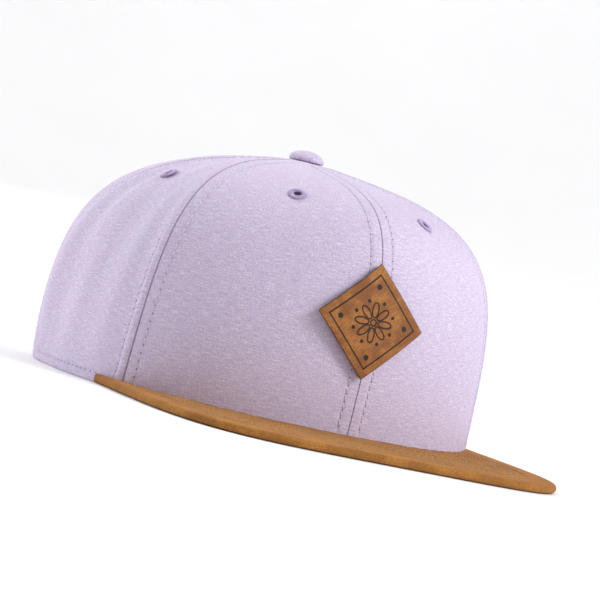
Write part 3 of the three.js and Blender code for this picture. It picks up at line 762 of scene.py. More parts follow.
for panel in PANELS:
    angle, rise, depth, seam_gap, middle = panel_grid(panel)
    length = crown_length(angle, rise)
    radius, height = crown_section(angle, rise)
    across = radius * np.sin(np.radians(angle))
    eyelet = next(e for e in EYELETS if e["name"] == panel["name"])
    behind = panel["name"] == "back"
    opening = arch_clearance(across, height) if behind else FAR_AWAY
    for side, sign in SIDES:
        gore = grid_sheet(
            f"{panel['name']}_{side}_gore",
            cloth_point(sign * angle, rise, depth),
            crown_normal(sign * angle, rise),
            cloth=(np.radians(angle - middle) * radius, length),
            seam=(seam_gap, length),
            rim=(length + FAR_AWAY * (rim_lift(angle) > 0), np.radians(angle) * RIM_HALF_WIDTH),
            opening=(opening, arch_length(across, height)),
        )
        set_wall_weight(gore, seam_gap, length + rise * RIM_WALL_GROWTH)
        if behind:
            snap_to_opening(gore, sign * across, height)
        hole = cloth_point(sign * np.array(eyelet["angle"]), np.array(eyelet["rise"]))
        distance = np.linalg.norm(face_centres(gore) - hole, axis=1)
        delete_faces(gore, distance < EYELET_HOLE)
        apply_modifier(
            gore, "SOLIDIFY", thickness=WALL * MM, offset=-1, vertex_group="wall", use_rim=True
        )
        points = read_points(gore)
        points[:, 2] = np.maximum(points[:, 2], 0)
        write_points(gore, points)
        finish_piece(gore, cloth, [f"{panel['name']}_{side}_panel"])
        print(gore.name, len(gore.data.polygons), "faces")

# %% [markdown]
# ## Back opening
# Over the strap the cloth is cut away in an arch, and its edge is turned under. The raw cut would show
# the cloth's thickness as a hard step. A thin roll of the same cloth along the cut is that turned edge.

# %% Turned edge of the back opening
FOLD_RADIUS = 0.8
FOLD_DEPTH = 0.75
FOLD_SIDES = 10
MERGE_DISTANCE = 0.0005
NO_ROWS = {"seam": (FAR_AWAY, 0), "rim": (FAR_AWAY, 0), "opening": (FAR_AWAY, 0)}


def merge_and_close(piece):
    """Joins the seam of a rolled-up grid and fills its open ends."""
    activate(piece)
    bpy.ops.object.mode_set(mode="EDIT")
    bpy.ops.mesh.select_mode(type="VERT")
    bpy.ops.mesh.select_all(action="SELECT")
    bpy.ops.mesh.remove_doubles(threshold=MERGE_DISTANCE * MM)
    bpy.ops.mesh.select_all(action="DESELECT")
    bpy.ops.mesh.select_non_manifold()
    bpy.ops.mesh.fill_holes(sides=0)
    bpy.ops.mesh.select_all(action="SELECT")
    bpy.ops.mesh.normals_make_consistent(inside=False)
    bpy.ops.object.mode_set(mode="OBJECT")


def tube(name, centres, across, up, width, height, sides, **uv_maps):
    """A closed tube along centres. across and up span its section, with half axes width and height."""
    turn = np.linspace(0, 2 * np.pi, sides + 1)[:, None, None]
    w = np.broadcast_to(width, (sides + 1, len(centres)))[..., None]
    h = np.broadcast_to(height, (sides + 1, len(centres)))[..., None]
    offset = np.cos(turn) * w * across[None] + np.sin(turn) * h * up[None]
    piece = grid_sheet(name, centres[None] + offset, offset, **uv_maps)
    merge_and_close(piece)
    return piece


def arch_place(share, offset):
    """Angle and rise round the back opening, from -1 at its left foot over 0 at its top to 1."""
    share, offset = np.broadcast_arrays(np.asarray(share, float), np.asarray(offset, float))
    along = 1 - np.abs(share)
    half_width = ARCH_HALF_WIDTH + offset
    straight = 0.35
    turn = np.clip((along - straight) / (1 - straight), 0, 1) * np.pi / 2
    across = half_width * np.cos(turn)
    low = ARCH_SPRING * np.minimum(along / straight, 1)
    height = low + (ARCH_RISE + offset) * np.sin(turn)
    side = np.where(share < 0, -1, 1)
    angle, rise = back_place(side * np.maximum(across, 0.001), height)
    return angle, rise


def path_lengths(points):
    steps = np.linalg.norm(np.diff(points, axis=0), axis=1)
    return np.concatenate([[0], np.cumsum(steps)])


def path_across(points, normals):
    """Directions square to a path, in the surface that it lies on."""
    return unit(np.cross(normals, unit(np.gradient(points, axis=0))))


share = np.linspace(-0.995, 0.995, 221)
angle, rise = arch_place(share, 0.0)
edge_path = cloth_point(angle, rise, FOLD_DEPTH)
edge_normal = crown_normal(angle, rise)
length = path_lengths(edge_path)
turn = np.linspace(0, 2 * np.pi, FOLD_SIDES + 1)[:, None]
fold_roll = tube(
    "back_opening_fold",
    edge_path,
    path_across(edge_path, edge_normal),
    edge_normal,
    FOLD_RADIUS * 0.8,
    FOLD_RADIUS,
    FOLD_SIDES,
    cloth=(length, turn * FOLD_RADIUS),
    **NO_ROWS,
)
finish_piece(fold_roll, cloth, smooth_angle=60)
print("turned edge is", round(float(length[-1]), 1), "mm long")

# %% [markdown]
# ## Button
# The seams meet under a small cloth-covered button. Its cloth is drawn over a metal dome and gathered
# beneath, and a rivet goes through to the inside. A turned profile has exactly this form, so a grid
# is rolled round the axis. Faint gathers grow towards its rim.

# %% Button on the top
BUTTON_RADIUS = 8
BUTTON_CROWN = 4.2
BUTTON_SEAT = CROWN_HEIGHT + 0.3
BUTTON_RIVET = 3.9
BUTTON_COLUMNS = 90
BUTTON_UNDERSIDE = [
    {"radius": 7.9, "height": -0.45},
    {"radius": 7.4, "height": -0.8},
    {"radius": 6.4, "height": -0.9},
    {"radius": 4.6, "height": -0.8},
    {"radius": BUTTON_RIVET, "height": -1.0},
    {"radius": BUTTON_RIVET, "height": -2.9},
    {"radius": 3.4, "height": -3.2},
    {"radius": 0, "height": -3.3},
]
GATHERS = 18
GATHER_DEPTH = 0.012

dome_turns = np.linspace(np.pi / 2, 0, 15)
radii = list(BUTTON_RADIUS * np.cos(dome_turns)) + [row["radius"] for row in BUTTON_UNDERSIDE]
heights = list(BUTTON_CROWN * np.sin(dome_turns)) + [row["height"] for row in BUTTON_UNDERSIDE]
turn = np.linspace(0, 2 * np.pi, BUTTON_COLUMNS + 1)[None, :]
radius = np.array(radii)[:, None] + 0 * turn
height = np.array(heights)[:, None] + 0 * turn
edge = np.clip(radius / BUTTON_RADIUS, 0, 1) ** 6
radius = radius * (1 + GATHER_DEPTH * edge * np.sin(GATHERS * turn))
x, y = radius * np.cos(turn), radius * np.sin(turn)
centre = np.array([RIM_CENTRE_X, RIM_CENTRE_Y + TOP_SHIFT, BUTTON_SEAT])
points = np.stack([x, y, height], axis=-1) + centre
outward = np.stack(np.broadcast_arrays(np.cos(turn), np.sin(turn), 0.3 + 0 * radius), axis=-1)
button = grid_sheet("top_button_cover", points, outward, cloth=(x, y), **NO_ROWS)
merge_and_close(button)
finish_piece(button, cloth, ["top_button"], smooth_angle=60)
print("button:", len(button.data.polygons), "faces")

# %% [markdown]
# ## Eyelets
# Each gore has one air hole, bound with close satin stitches that run from its edge into the cloth.
# A smooth ring would look like metal. So a torus gets one low ridge for each stitch, is flattened on
# the cloth, and is modelled once and copied to its six places.

# %% Thread and eyelets
EYELET_RING = 2.85
EYELET_THREAD = 1.25
EYELET_FLATNESS = 0.5
EYELET_STAND = 0.3
SATIN_STITCHES = 46
SATIN_FURROW = 0.3
SEGMENTS_PER_STITCH = 4

eyelet_thread, tree, shader = new_material("eyelet_thread", roughness=0.55, sheen_weight=0.3)
strand = space_noise(tree, 5200.0, 1.0)
base = mix_colours(tree, ramp(tree, strand, 0.35, 0.65), paint(160, 136, 184), paint(206, 188, 222))
connect(tree, shader, base, calc(tree, "MULTIPLY", strand, 0.06))

deselect()
bpy.ops.mesh.primitive_torus_add(
    major_segments=SATIN_STITCHES * SEGMENTS_PER_STITCH,
    minor_segments=14,
    major_radius=EYELET_RING * MM,
    minor_radius=EYELET_THREAD * MM,
)
ring = bpy.context.object
points = read_points(ring) / MM
turn = np.arctan2(points[:, 1], points[:, 0])
reach = np.hypot(points[:, 0], points[:, 1]) - EYELET_RING
ridge = 1 - SATIN_FURROW * (1 - np.abs(np.sin(turn * SATIN_STITCHES / 2)) ** 0.7)
new_reach = EYELET_RING + reach * ridge
points[:, 0], points[:, 1] = new_reach * np.cos(turn), new_reach * np.sin(turn)
points[:, 2] *= EYELET_FLATNESS * ridge
write_points(ring, points * MM)


def copy_to(template, name, origin, x_axis, y_axis, z_axis):
    """A copy with its own mesh, set at a place and turned to three axes."""
    piece = template.copy()
    piece.data = template.data.copy()
    piece.name = piece.data.name = name
    bpy.context.collection.objects.link(piece)
    axes = np.stack([x_axis, y_axis, z_axis])
    write_points(piece, read_points(template) @ axes + np.asarray(origin) * MM)
    return piece


for eyelet in EYELETS:
    for side, sign in SIDES:
        angle, rise = sign * np.array(eyelet["angle"]), np.array(eyelet["rise"])
        normal = crown_normal(angle, rise)
        level = unit(np.cross([0, 0, 1], normal))
        seat = cloth_point(angle, rise) + normal * EYELET_STAND
        node = f"eyelet_{eyelet['name']}_{side}"
        piece = copy_to(ring, node + "_thread", seat, level, np.cross(normal, level), normal)
        finish_piece(piece, eyelet_thread, [node], smooth_angle=80)
bpy.data.objects.remove(ring)
print("eyelets:", len(EYELETS) * len(SIDES), "with", SATIN_STITCHES, "stitches each")

# %% [markdown]
# ## Stitches
# Every seam is held by rows of short stitches, thread on top of the cloth for some two millimetres and
# then down through it. A texture of dashes looks flat in raking light. One stitch is modelled as a bent
# five-sided bar with sunk ends, cut in three along its length, and copied along each row into one mesh.

# %% One stitch, and rows of them
THREAD = 0.48
STITCH_LENGTH = 2.4
deselect()
bpy.ops.mesh.primitive_cylinder_add(vertices=5, radius=0.5, depth=1, end_fill_type="NGON")
stitch = bpy.context.object
bpy.ops.object.mode_set(mode="EDIT")
bpy.ops.mesh.select_all(action="SELECT")
bpy.ops.mesh.subdivide(number_cuts=2)
bpy.ops.object.mode_set(mode="OBJECT")
STITCH_POINTS = read_points(stitch).astype(float)
STITCH_FACES = [tuple(face.vertices) for face in stitch.data.polygons]
bpy.data.objects.remove(stitch)
print("one stitch:", len(STITCH_POINTS), "points,", len(STITCH_FACES), "faces")


def along_path(places, distances, path):
    """Points of a path, or its directions, at some distances along it."""
    return np.stack([np.interp(places, distances, path[:, axis]) for axis in range(3)], axis=-1)


def sew(name, rows, material, thread=THREAD, length=STITCH_LENGTH, pitch=STITCH_PITCH, sink=0.0):
    """Copies the stitch along rows of (points, normals, measure), as one mesh. The stitches lie
    between whole multiples of the pitch in that measure, and so between the needle holes. A measure
    of None stands for the length along the row."""
    share = STITCH_POINTS[:, 2]
    taper = np.where(np.abs(share) > 0.45, 0.6, 1.15)
    bow = -3.0 * share**2 * thread
    all_points = []
    for path, normals, measure in rows:
        distances = path_lengths(path) if measure is None else measure
        first = math.ceil(distances[0] / pitch)
        count = int(distances[-1] // pitch) - first
        if count < 1:
            continue
        starts = (first + np.arange(count)) * pitch + (pitch - length) / 2
        ends = along_path(starts, distances, path)
        tips = along_path(starts + length, distances, path)
        up_way = along_path(starts + length / 2, distances, normals)
        along = tips - ends
        up_way = unit(up_way - unit(along) * np.sum(up_way * unit(along), axis=-1, keepdims=True))
        side_way = np.cross(up_way, unit(along))
        middle = (ends + tips) / 2 + up_way * (thread / 2 - sink)
        block = (
            middle[:, None]
            + along[:, None] * share[None, :, None]
            + side_way[:, None] * (STITCH_POINTS[:, 0] * thread * taper)[None, :, None]
            + up_way[:, None] * (STITCH_POINTS[:, 1] * thread * taper + bow)[None, :, None]
        )
        all_points.append(block.reshape(-1, 3))
    points = np.concatenate(all_points) * MM
    copies = len(points) // len(STITCH_POINTS)
    mesh = bpy.data.meshes.new(name)
    faces = [
        tuple(index + copy * len(STITCH_POINTS) for index in face)
        for copy in range(copies)
        for face in STITCH_FACES
    ]
    mesh.from_pydata(points.tolist(), [], faces)
    piece = bpy.data.objects.new(name, mesh)
    bpy.context.collection.objects.link(piece)
    finish_piece(piece, material, smooth_angle=80)
    print(name, copies, "stitches")


def thread_material(name, first, second):
    material, tree, shader = new_material(name, roughness=0.5, sheen_weight=0.2)
    inputs = {"Vector": object_places(tree), "Scale": 900.0, "Distortion": 2.0}
    twist = add_node(tree, "ShaderNodeTexWave", inputs).outputs[1]
    connect(tree, shader, mix_colours(tree, twist, first, second), calc(tree, "MULTIPLY", twist, 0.04))
    return material


lilac_thread = thread_material("lilac_thread", paint(210, 196, 226), paint(236, 228, 246))

# %% Rows on the crown
SEAM_ROW_TOP = 12.5
SEAM_ROW_START = 1.5
FRONT_ROW_START = 6
ROW_STEP = 0.4
RIM_ROW_END = 155
RIM_ROW_GAP = 2.5
ARCH_ROW_SHARE = 0.955
rows = []
for seam in SEAMS:
    for sign in (1, -1) if seam["paired"] else (1,):
        for offset in (-STITCH_OFFSET, STITCH_OFFSET):
            length = np.arange(SEAM_ROW_START, float(WALL_LENGTHS[:, -1].max()), ROW_STEP)
            rise = rise_at_length(seam["angle"], length)
            angle = seam_angle(seam, rise)
            radius = crown_section(angle, rise)[0]
            angle = sign * (angle + np.degrees(offset / radius))
            kept = (rise < TOP_RISE - 0.005) & (radius > SEAM_ROW_TOP)
            kept &= (length > FRONT_ROW_START) | (np.abs(angle) > BRIM_END_ANGLE)
            if seam["name"] == "back_center":
                across = radius * np.sin(np.radians(angle))
                kept &= arch_clearance(across, crown_section(angle, rise)[1]) > ARCH_ROWS_END
            angle, rise = angle[kept], rise[kept]
            rows.append((cloth_point(angle, rise), crown_normal(angle, rise), length[kept]))
for sign in (1, -1):
    angle = sign * np.linspace(BRIM_END_ANGLE, RIM_ROW_END, 400)
    rise = rise_at_length(angle, RIM_STITCH_HEIGHT)
    across = crown_section(angle, rise)[0] * np.sin(np.radians(angle))
    kept = (np.abs(angle) < 120) | (np.abs(across) > ARCH_HALF_WIDTH + RIM_ROW_GAP)
    angle, rise = angle[kept], rise[kept]
    measure = np.radians(angle) * RIM_HALF_WIDTH
    order = np.argsort(measure)
    rows.append((cloth_point(angle, rise)[order], crown_normal(angle, rise)[order], measure[order]))
for offset in ARCH_STITCH_OFFSETS:
    angle, rise = arch_place(np.linspace(-ARCH_ROW_SHARE, ARCH_ROW_SHARE, 400), offset)
    radius, height = crown_section(angle, rise)
    across, height = to_clearance(radius * np.sin(np.radians(angle)), height, offset)
    angle, rise = back_place(across, height)
    rows.append((cloth_point(angle, rise), crown_normal(angle, rise), arch_length(across, height)))
sew("crown_stitches", rows, lilac_thread)

# %% [markdown]
# ## Brim
# The flat brim is a stiff board. Suede covers its top and wraps its edge, and a plain cloth is sewn on
# below. Rows of stitching run through all of it, parallel to the edge, and draw shallow channels.
# A flat plate with a bevel would have none of that. A grid follows the profile from under the edge,
# round the nose, over the top and down to the crown, and each row's channel is pressed into it and
# darkened with painted shade. The suede's material darkens its lowest strip under the nose, partly
# as its raw cut edge and partly as painted shade.

# %% Outline of the brim
BRIM_HALF_WIDTH = 90.65
BRIM_POWER = 4.5
BRIM_THICKNESS = 3.8
BRIM_NOSE = 1.6
UNDERSIDE_MARGIN = 1.6
UNDERSIDE_THICKNESS = 1.2
FIRST_ROW_MARGIN = 11
ROW_SPACING = 5.3
ROW_COUNT = 9
CHANNEL_DEPTH = 0.28
CHANNEL_WIDTH = 0.9
BRIM_ROOT_ANGLE = 67.25
COVER_END_WIDTH = 1.1
UNDERSIDE_END_WIDTH = 0.5
COVER_CROWN_GAP = 0.2
UNDERSIDE_CROWN_GAP = -1.0
END_STEP = 0.1
OUTLINE_POINTS = 4001
RIM_POINTS = 2001
MOST_NOSE_SHARE = 0.6


def rim_place(angle):
    radius = rim_radius(angle)
    x = RIM_CENTRE_X + radius * np.sin(np.radians(angle))
    y = RIM_CENTRE_Y - radius * np.cos(np.radians(angle))
    return np.stack(np.broadcast_arrays(x, y), axis=-1)


def rim_outward(angle):
    step = 0.1
    tangent = unit(rim_place(angle + step) - rim_place(angle - step))
    return np.stack([tangent[..., 1], -tangent[..., 0]], axis=-1)


def level_outward(angle):
    """Directions out of the rim, in space."""
    outward = rim_outward(angle)
    return np.concatenate([outward, np.zeros_like(outward[..., :1])], axis=-1)


def rim_inset(angle, depth, height):
    """A point at a depth inside the rim, measured square to it."""
    angle, depth, height = np.broadcast_arrays(
        np.asarray(angle, float), np.asarray(depth, float), np.asarray(height, float)
    )
    plan = rim_place(angle) - rim_outward(angle) * depth[..., None]
    return np.concatenate([plan, height[..., None]], axis=-1)


BRIM_ROOT_Y = float(rim_place(BRIM_ROOT_ANGLE)[1])
BRIM_LENGTH = BRIM_ROOT_Y - (RIM_CENTRE_Y - RIM_FRONT - BRIM_REACH)


def brim_curve(turn, margin):
    """A point of the outline, or of a row at a margin inside it."""
    power = 2 / BRIM_POWER
    cosine = np.cos(turn)
    x = RIM_CENTRE_X + (BRIM_HALF_WIDTH - margin) * np.sign(cosine) * np.abs(cosine) ** power
    y = BRIM_ROOT_Y - (BRIM_LENGTH - margin) * np.abs(np.sin(turn)) ** power
    return np.stack(np.broadcast_arrays(x, y), axis=-1)


def brim_margin(x, y):
    """The margin of the row that runs through a place, by halving."""
    low, high = np.zeros_like(x), np.full_like(x, BRIM_HALF_WIDTH - 2)
    for _ in range(30):
        middle = (low + high) / 2
        across = np.abs(x - RIM_CENTRE_X) / (BRIM_HALF_WIDTH - middle)
        along = np.maximum(BRIM_ROOT_Y - y, 0) / (BRIM_LENGTH - middle)
        inside = across**BRIM_POWER + along**BRIM_POWER < 1
        low, high = np.where(inside, middle, low), np.where(inside, high, middle)
    return low


def channels(margin):
    """Depth of the channels that the rows of stitches draw into the brim."""
    row = np.rint((margin - FIRST_ROW_MARGIN) / ROW_SPACING).clip(0, ROW_COUNT - 1)
    off = margin - FIRST_ROW_MARGIN - row * ROW_SPACING
    return CHANNEL_DEPTH * np.exp(-((off / CHANNEL_WIDTH) ** 2))


def brim_plan(margin, crown_gap, columns, end_width):
    """Matching turns on the outline and angles on the crown side, from the +X end to the -X end,
    and the lengths along the outline."""
    end = BRIM_ROOT_ANGLE
    while True:
        inner_x, inner_y = (float(value) for value in rim_inset(end, -crown_gap, 0)[:2])
        share = min(max((BRIM_ROOT_Y - inner_y) / (BRIM_LENGTH - margin), 0), 1)
        outer_x = (BRIM_HALF_WIDTH - margin) * (1 - share**BRIM_POWER) ** (1 / BRIM_POWER)
        if outer_x - (inner_x - RIM_CENTRE_X) >= end_width:
            break
        end -= END_STEP
    start_turn = math.asin(share ** (BRIM_POWER / 2))
    turns = np.linspace(start_turn, np.pi - start_turn, OUTLINE_POINTS)
    lengths = path_lengths(brim_curve(turns, margin))
    places = np.linspace(0, lengths[-1], columns + 1)
    outer_turns = np.interp(places, lengths, turns)
    inner_angles = np.linspace(end, -end, RIM_POINTS)
    inner_lengths = path_lengths(rim_inset(inner_angles, -crown_gap, 0))
    inner = np.interp(np.linspace(0, inner_lengths[-1], columns + 1), inner_lengths, inner_angles)
    return outer_turns, inner, places


def brim_points(margins, heights, shares, crown_gap, columns, base_margin, end_width):
    """Rows first follow margins from the outline, then run by shares to the crown side."""
    outer_turns, inner_angles, along = brim_plan(base_margin, crown_gap, columns, end_width)
    inner = rim_inset(inner_angles, -crown_gap, 0)[:, :2]
    width = np.linalg.norm(brim_curve(outer_turns, base_margin) - inner, axis=1)
    squeeze = np.minimum(1, MOST_NOSE_SHARE * width / (max(margins) - base_margin + 0.01))
    rows = []
    for margin, share in zip(margins, shares):
        outer = brim_curve(outer_turns, base_margin + (margin - base_margin) * squeeze)
        rows.append(outer * (1 - share) + inner * share)
    plan = np.stack(rows)
    height = np.broadcast_to(np.asarray(heights, float)[:, None], plan.shape[:2])
    return np.concatenate([plan, height[..., None]], axis=-1), along


def row_shade(tree, near, far, share):
    """Painted shade along the brim's rows: a share up to near from a row, and none beyond far."""
    margin = uv_places(tree, "brim")[0]
    from_first = calc(tree, "SUBTRACT", margin, FIRST_ROW_MARGIN)
    from_row = calc(tree, "PINGPONG", from_first, ROW_SPACING / 2)
    stitched = ramp(tree, margin, FIRST_ROW_MARGIN - 1.5, FIRST_ROW_MARGIN - 1.0)
    return calc(tree, "MULTIPLY", ramp(tree, from_row, near, far, share, 0.0), stitched)


# %% Suede
suede, tree, shader = new_material("tan_suede", roughness=0.95, sheen_weight=0.35, sheen_roughness=0.45)
shader.inputs["Sheen Tint"].default_value = paint(224, 166, 96)
nap = space_noise(tree, 1300.0, 5.0, 0.7)
brushed = space_noise(tree, 60.0, 5.0, 0.65)
fibres = space_noise(tree, 4800.0, 3.0)
base = mix_colours(tree, ramp(tree, brushed, 0.36, 0.64), paint(150, 94, 32), paint(182, 122, 50))
base = mix_colours(tree, ramp(tree, nap, 0.36, 0.7, 0.0, 0.75), base, paint(112, 68, 24))
base = mix_colours(tree, ramp(tree, fibres, 0.45, 0.8, 0.0, 0.5), base, paint(202, 146, 76))
# Painted shade in the stitched channels of the suede.
base = mix_colours(tree, row_shade(tree, 0.2, 1.1, 0.4), base, paint(104, 66, 30))
# Partly the raw cut edge and partly painted shade: the lowest strip of the suede, under the nose, is
# darkened.
parts = add_node(tree, "ShaderNodeSeparateXYZ", {0: object_places(tree)})
raw_edge_and_shade = ramp(tree, parts.outputs[2], 0.35 * MM, 0.9 * MM, 0.85, 0.0)
base = mix_colours(tree, raw_edge_and_shade, base, paint(66, 38, 18))
relief = calc(tree, "MULTIPLY_ADD", nap, 0.3, calc(tree, "MULTIPLY", fibres, 0.12))
connect(tree, shader, base, relief)

# %% Suede cover
BRIM_COLUMNS = 184
TOP_ROWS = 84
SUEDE_THICKNESS = 0.9
COVER_LIFT = 0.05
COVER_ROOT_HEIGHTS = [3.3, 2.6, 1.7]
nose_turns = np.radians(np.linspace(-75, 90, 13))
nose_margin = list(BRIM_NOSE * (1 - np.cos(nose_turns)))
half_thickness = BRIM_THICKNESS / 2
nose_height = list(half_thickness + COVER_LIFT + (half_thickness - COVER_LIFT) * np.sin(nose_turns))
top_share = list(np.linspace(0, 1, TOP_ROWS + 1)[1:])
shares = [0.0] * len(nose_margin) + top_share + [1.0] * len(COVER_ROOT_HEIGHTS)
margins = nose_margin + [BRIM_NOSE] * (TOP_ROWS + len(COVER_ROOT_HEIGHTS))
heights = nose_height + [BRIM_THICKNESS] * TOP_ROWS + COVER_ROOT_HEIGHTS
points, along = brim_points(
    margins, heights, shares, COVER_CROWN_GAP, BRIM_COLUMNS, 0, COVER_END_WIDTH
)
margin = brim_margin(points[..., 0], points[..., 1])
is_top = np.arange(len(margins))[:, None] >= len(nose_margin)
points[..., 2] -= np.where(is_top, channels(margin), 0)
outward = is_top[..., None] * np.array([0, 0, 1])
cover = grid_sheet("suede_brim_cover", points, outward, brim=(margin, along))
thicken(cover, SUEDE_THICKNESS)
finish_piece(cover, suede, ["brim_cover"], smooth_angle=60)
print("suede cover:", len(cover.data.polygons), "faces")

# %% Cloth under the brim
underside_cloth, tree, shader = new_material("warm_grey_underside", roughness=0.95, sheen_weight=0.1)
u, v = uv_places(tree, "cloth")
weave, level_on_top = plain_weave(tree, u, v, 0.45)
streaks = noise(tree, u, v, 0.6, 3.0, 4.0)
base = mix_colours(tree, level_on_top, paint(204, 199, 192), paint(224, 220, 214))
base = mix_colours(tree, ramp(tree, streaks, 0.38, 0.66), base, paint(184, 178, 172))
# Painted shade in the stitched channels of the cloth under the brim.
base = mix_colours(tree, row_shade(tree, 0.3, 1.3, 0.35), base, paint(160, 152, 146))
relief = calc(tree, "MULTIPLY_ADD", weave, 0.05, calc(tree, "MULTIPLY", streaks, 0.08))
connect(tree, shader, base, relief)

UNDERSIDE_ROWS = 80
UNDERSIDE_ROUNDING = 0.5
UNDERSIDE_ROOT_HEIGHT = 0.4
UNDERSIDE_SLACK = 0.3
CHANNELS_FROM = 5
FLAT_BELOW = 0.2
edge_turns = np.radians(np.linspace(0, 90, 4))
edge_margin = list(UNDERSIDE_MARGIN + UNDERSIDE_ROUNDING * (1 - np.cos(edge_turns)))
edge_height = list(UNDERSIDE_ROUNDING * (1 - np.sin(edge_turns)))
shares = [0.0] * len(edge_margin) + list(np.linspace(0, 1, UNDERSIDE_ROWS + 1)[1:]) + [1.0]
margins = edge_margin + [edge_margin[-1]] * (UNDERSIDE_ROWS + 1)
heights = edge_height + [0.0] * UNDERSIDE_ROWS + [UNDERSIDE_ROOT_HEIGHT]
points, along = brim_points(
    margins, heights, shares, UNDERSIDE_CROWN_GAP, BRIM_COLUMNS, edge_margin[-1], UNDERSIDE_END_WIDTH
)
margin = brim_margin(points[..., 0], points[..., 1])
is_flat = (margin > CHANNELS_FROM) & (points[..., 2] < FLAT_BELOW)
points[..., 2] += np.where(is_flat, channels(margin), 0)
plate = grid_sheet(
    "brim_underside_cloth",
    points,
    [0, 0, -1],
    brim=(margin, along),
    cloth=(points[..., 0], points[..., 1]),
)
thicken(plate, UNDERSIDE_THICKNESS - UNDERSIDE_SLACK)
finish_piece(plate, underside_cloth, ["brim_underside"], smooth_angle=60)
print("cloth under the brim:", len(plate.data.polygons), "faces")

# %% Rows through the brim
cream_thread = thread_material("cream_thread", paint(226, 221, 210), paint(246, 243, 236))
tan_thread = thread_material("tan_thread", paint(150, 104, 54), paint(186, 138, 82))


ROW_CROWN_GAP = 1.6
ROW_END_GAP = 1
ROW_POINTS = 6001
UNDER_THREAD = 0.42


def brim_row(margin, height, way):
    """A row parallel to the brim's edge, whose thread lies on top for a way of 1, below for -1."""
    plan = brim_curve(np.linspace(0, np.pi, ROW_POINTS), margin)
    away = plan - [RIM_CENTRE_X, RIM_CENTRE_Y]
    angle = np.degrees(np.arctan2(away[:, 0], -away[:, 1]))
    off_crown = np.hypot(away[:, 0], away[:, 1]) > rim_radius(angle) + ROW_CROWN_GAP
    plan = plan[off_crown & (plan[:, 1] < BRIM_ROOT_Y - ROW_END_GAP)]
    path = np.column_stack([plan, np.full(len(plan), float(height))])
    return path, np.tile([0.0, 0.0, float(way)], (len(plan), 1)), None


row_margins = [FIRST_ROW_MARGIN + ROW_SPACING * row for row in range(ROW_COUNT)]
sew(
    "brim_under_stitches",
    [brim_row(value, CHANNEL_DEPTH, -1) for value in row_margins],
    cream_thread,
    thread=UNDER_THREAD,
    length=2.3,
    sink=UNDER_THREAD - CHANNEL_DEPTH + 0.02,
)
sew(
    "brim_top_stitches",
    [brim_row(value, BRIM_THICKNESS - CHANNEL_DEPTH, 1) for value in row_margins],
    tan_thread,
    length=2.5,
)

# %% [markdown]
# ## Leather patch
# A square of brown leather stands on its corner on the front, a little proud of the cloth. Its cut edge
# is painted near black, partly as burnish and partly as painted shade on its sides, and a line and an
# ornament are pressed into its face. A mesh would need very small faces to carry such thin lines, so
# the material works out each place's distance from the nearest line and darkens and sinks it there.
# The ornament here is a plain eight-petalled rosette with dots.

# %% Leather
PATCH_HALF_DIAGONAL = 23.8
PATCH_THICKNESS = 2.0
PATCH_CENTRE = {"across": -1.5, "height": 51}
PATCH_GAP = 0.8
PATCH_STIFFNESS = 0.45
PATCH_SIDE = PATCH_HALF_DIAGONAL / math.sqrt(2)
PATCH_CELLS = 60
PATCH_CORNER = 0.7
GROOVE_DEPTH = 0.3
LINE_WIDTH = 0.56
FRAME_MARGIN = 3.3
FLOWER_EYE = 1.25
PETALS = 8
PETAL_MIDDLE = 5.1
PETAL_HALF_LENGTH = 3.0
PETAL_HALF_WIDTH = 1.35
SMALL_DOT_REACH = 8.9
SMALL_DOT_RADIUS = 0.45
LARGE_DOTS = 4
LARGE_DOT_REACH = 14.4
LARGE_DOT_RADIUS = 0.8

leather, tree, shader = new_material("burnished_leather", roughness=0.6)
u, v = uv_places(tree, "patch")


def length_of(x, y):
    return calc(tree, "SQRT", calc(tree, "MULTIPLY_ADD", x, x, calc(tree, "MULTIPLY", y, y)))


def folded(reach, bearing, repeats):
    """Places folded over so that one wedge stands for all the repeats round the middle."""
    wedge = calc(tree, "PINGPONG", bearing, math.pi / repeats)
    x = calc(tree, "MULTIPLY", reach, calc(tree, "COSINE", wedge))
    return x, calc(tree, "MULTIPLY", reach, calc(tree, "SINE", wedge))


def dots(x, y, reach, bearing, radius):
    """Distance from the edge of a dot whose centre lies at a reach and bearing, 0 inside it."""
    dx = calc(tree, "SUBTRACT", x, reach * math.cos(bearing))
    dy = calc(tree, "SUBTRACT", y, reach * math.sin(bearing))
    return calc(tree, "MAXIMUM", calc(tree, "SUBTRACT", length_of(dx, dy), radius), 0.0)


across = calc(tree, "DIVIDE", calc(tree, "SUBTRACT", u, v), math.sqrt(2))
height = calc(tree, "DIVIDE", calc(tree, "ADD", u, v), math.sqrt(2))
reach = length_of(across, height)
bearing = calc(tree, "ADD", calc(tree, "ARCTAN2", height, across), 2 * math.pi)
off_centre = calc(tree, "MAXIMUM", calc(tree, "ABSOLUTE", u), calc(tree, "ABSOLUTE", v))
edge_gap = calc(tree, "SUBTRACT", PATCH_SIDE, off_centre)
frame_line = gap_from(tree, edge_gap, FRAME_MARGIN)
eye = gap_from(tree, reach, FLOWER_EYE)
x, y = folded(reach, bearing, PETALS)
along = calc(tree, "DIVIDE", calc(tree, "SUBTRACT", x, PETAL_MIDDLE), PETAL_HALF_LENGTH)
beside = calc(tree, "DIVIDE", y, PETAL_HALF_WIDTH)
share = length_of(along, beside)
slope = length_of(
    calc(tree, "DIVIDE", along, PETAL_HALF_LENGTH), calc(tree, "DIVIDE", beside, PETAL_HALF_WIDTH)
)
petal = calc(tree, "MULTIPLY", calc(tree, "SUBTRACT", share, 1.0), calc(tree, "DIVIDE", share, slope))
small_dots = dots(x, y, SMALL_DOT_REACH, math.pi / PETALS, SMALL_DOT_RADIUS)
large_dots = dots(*folded(reach, bearing, LARGE_DOTS), LARGE_DOT_REACH, 0, LARGE_DOT_RADIUS)
nearest = frame_line
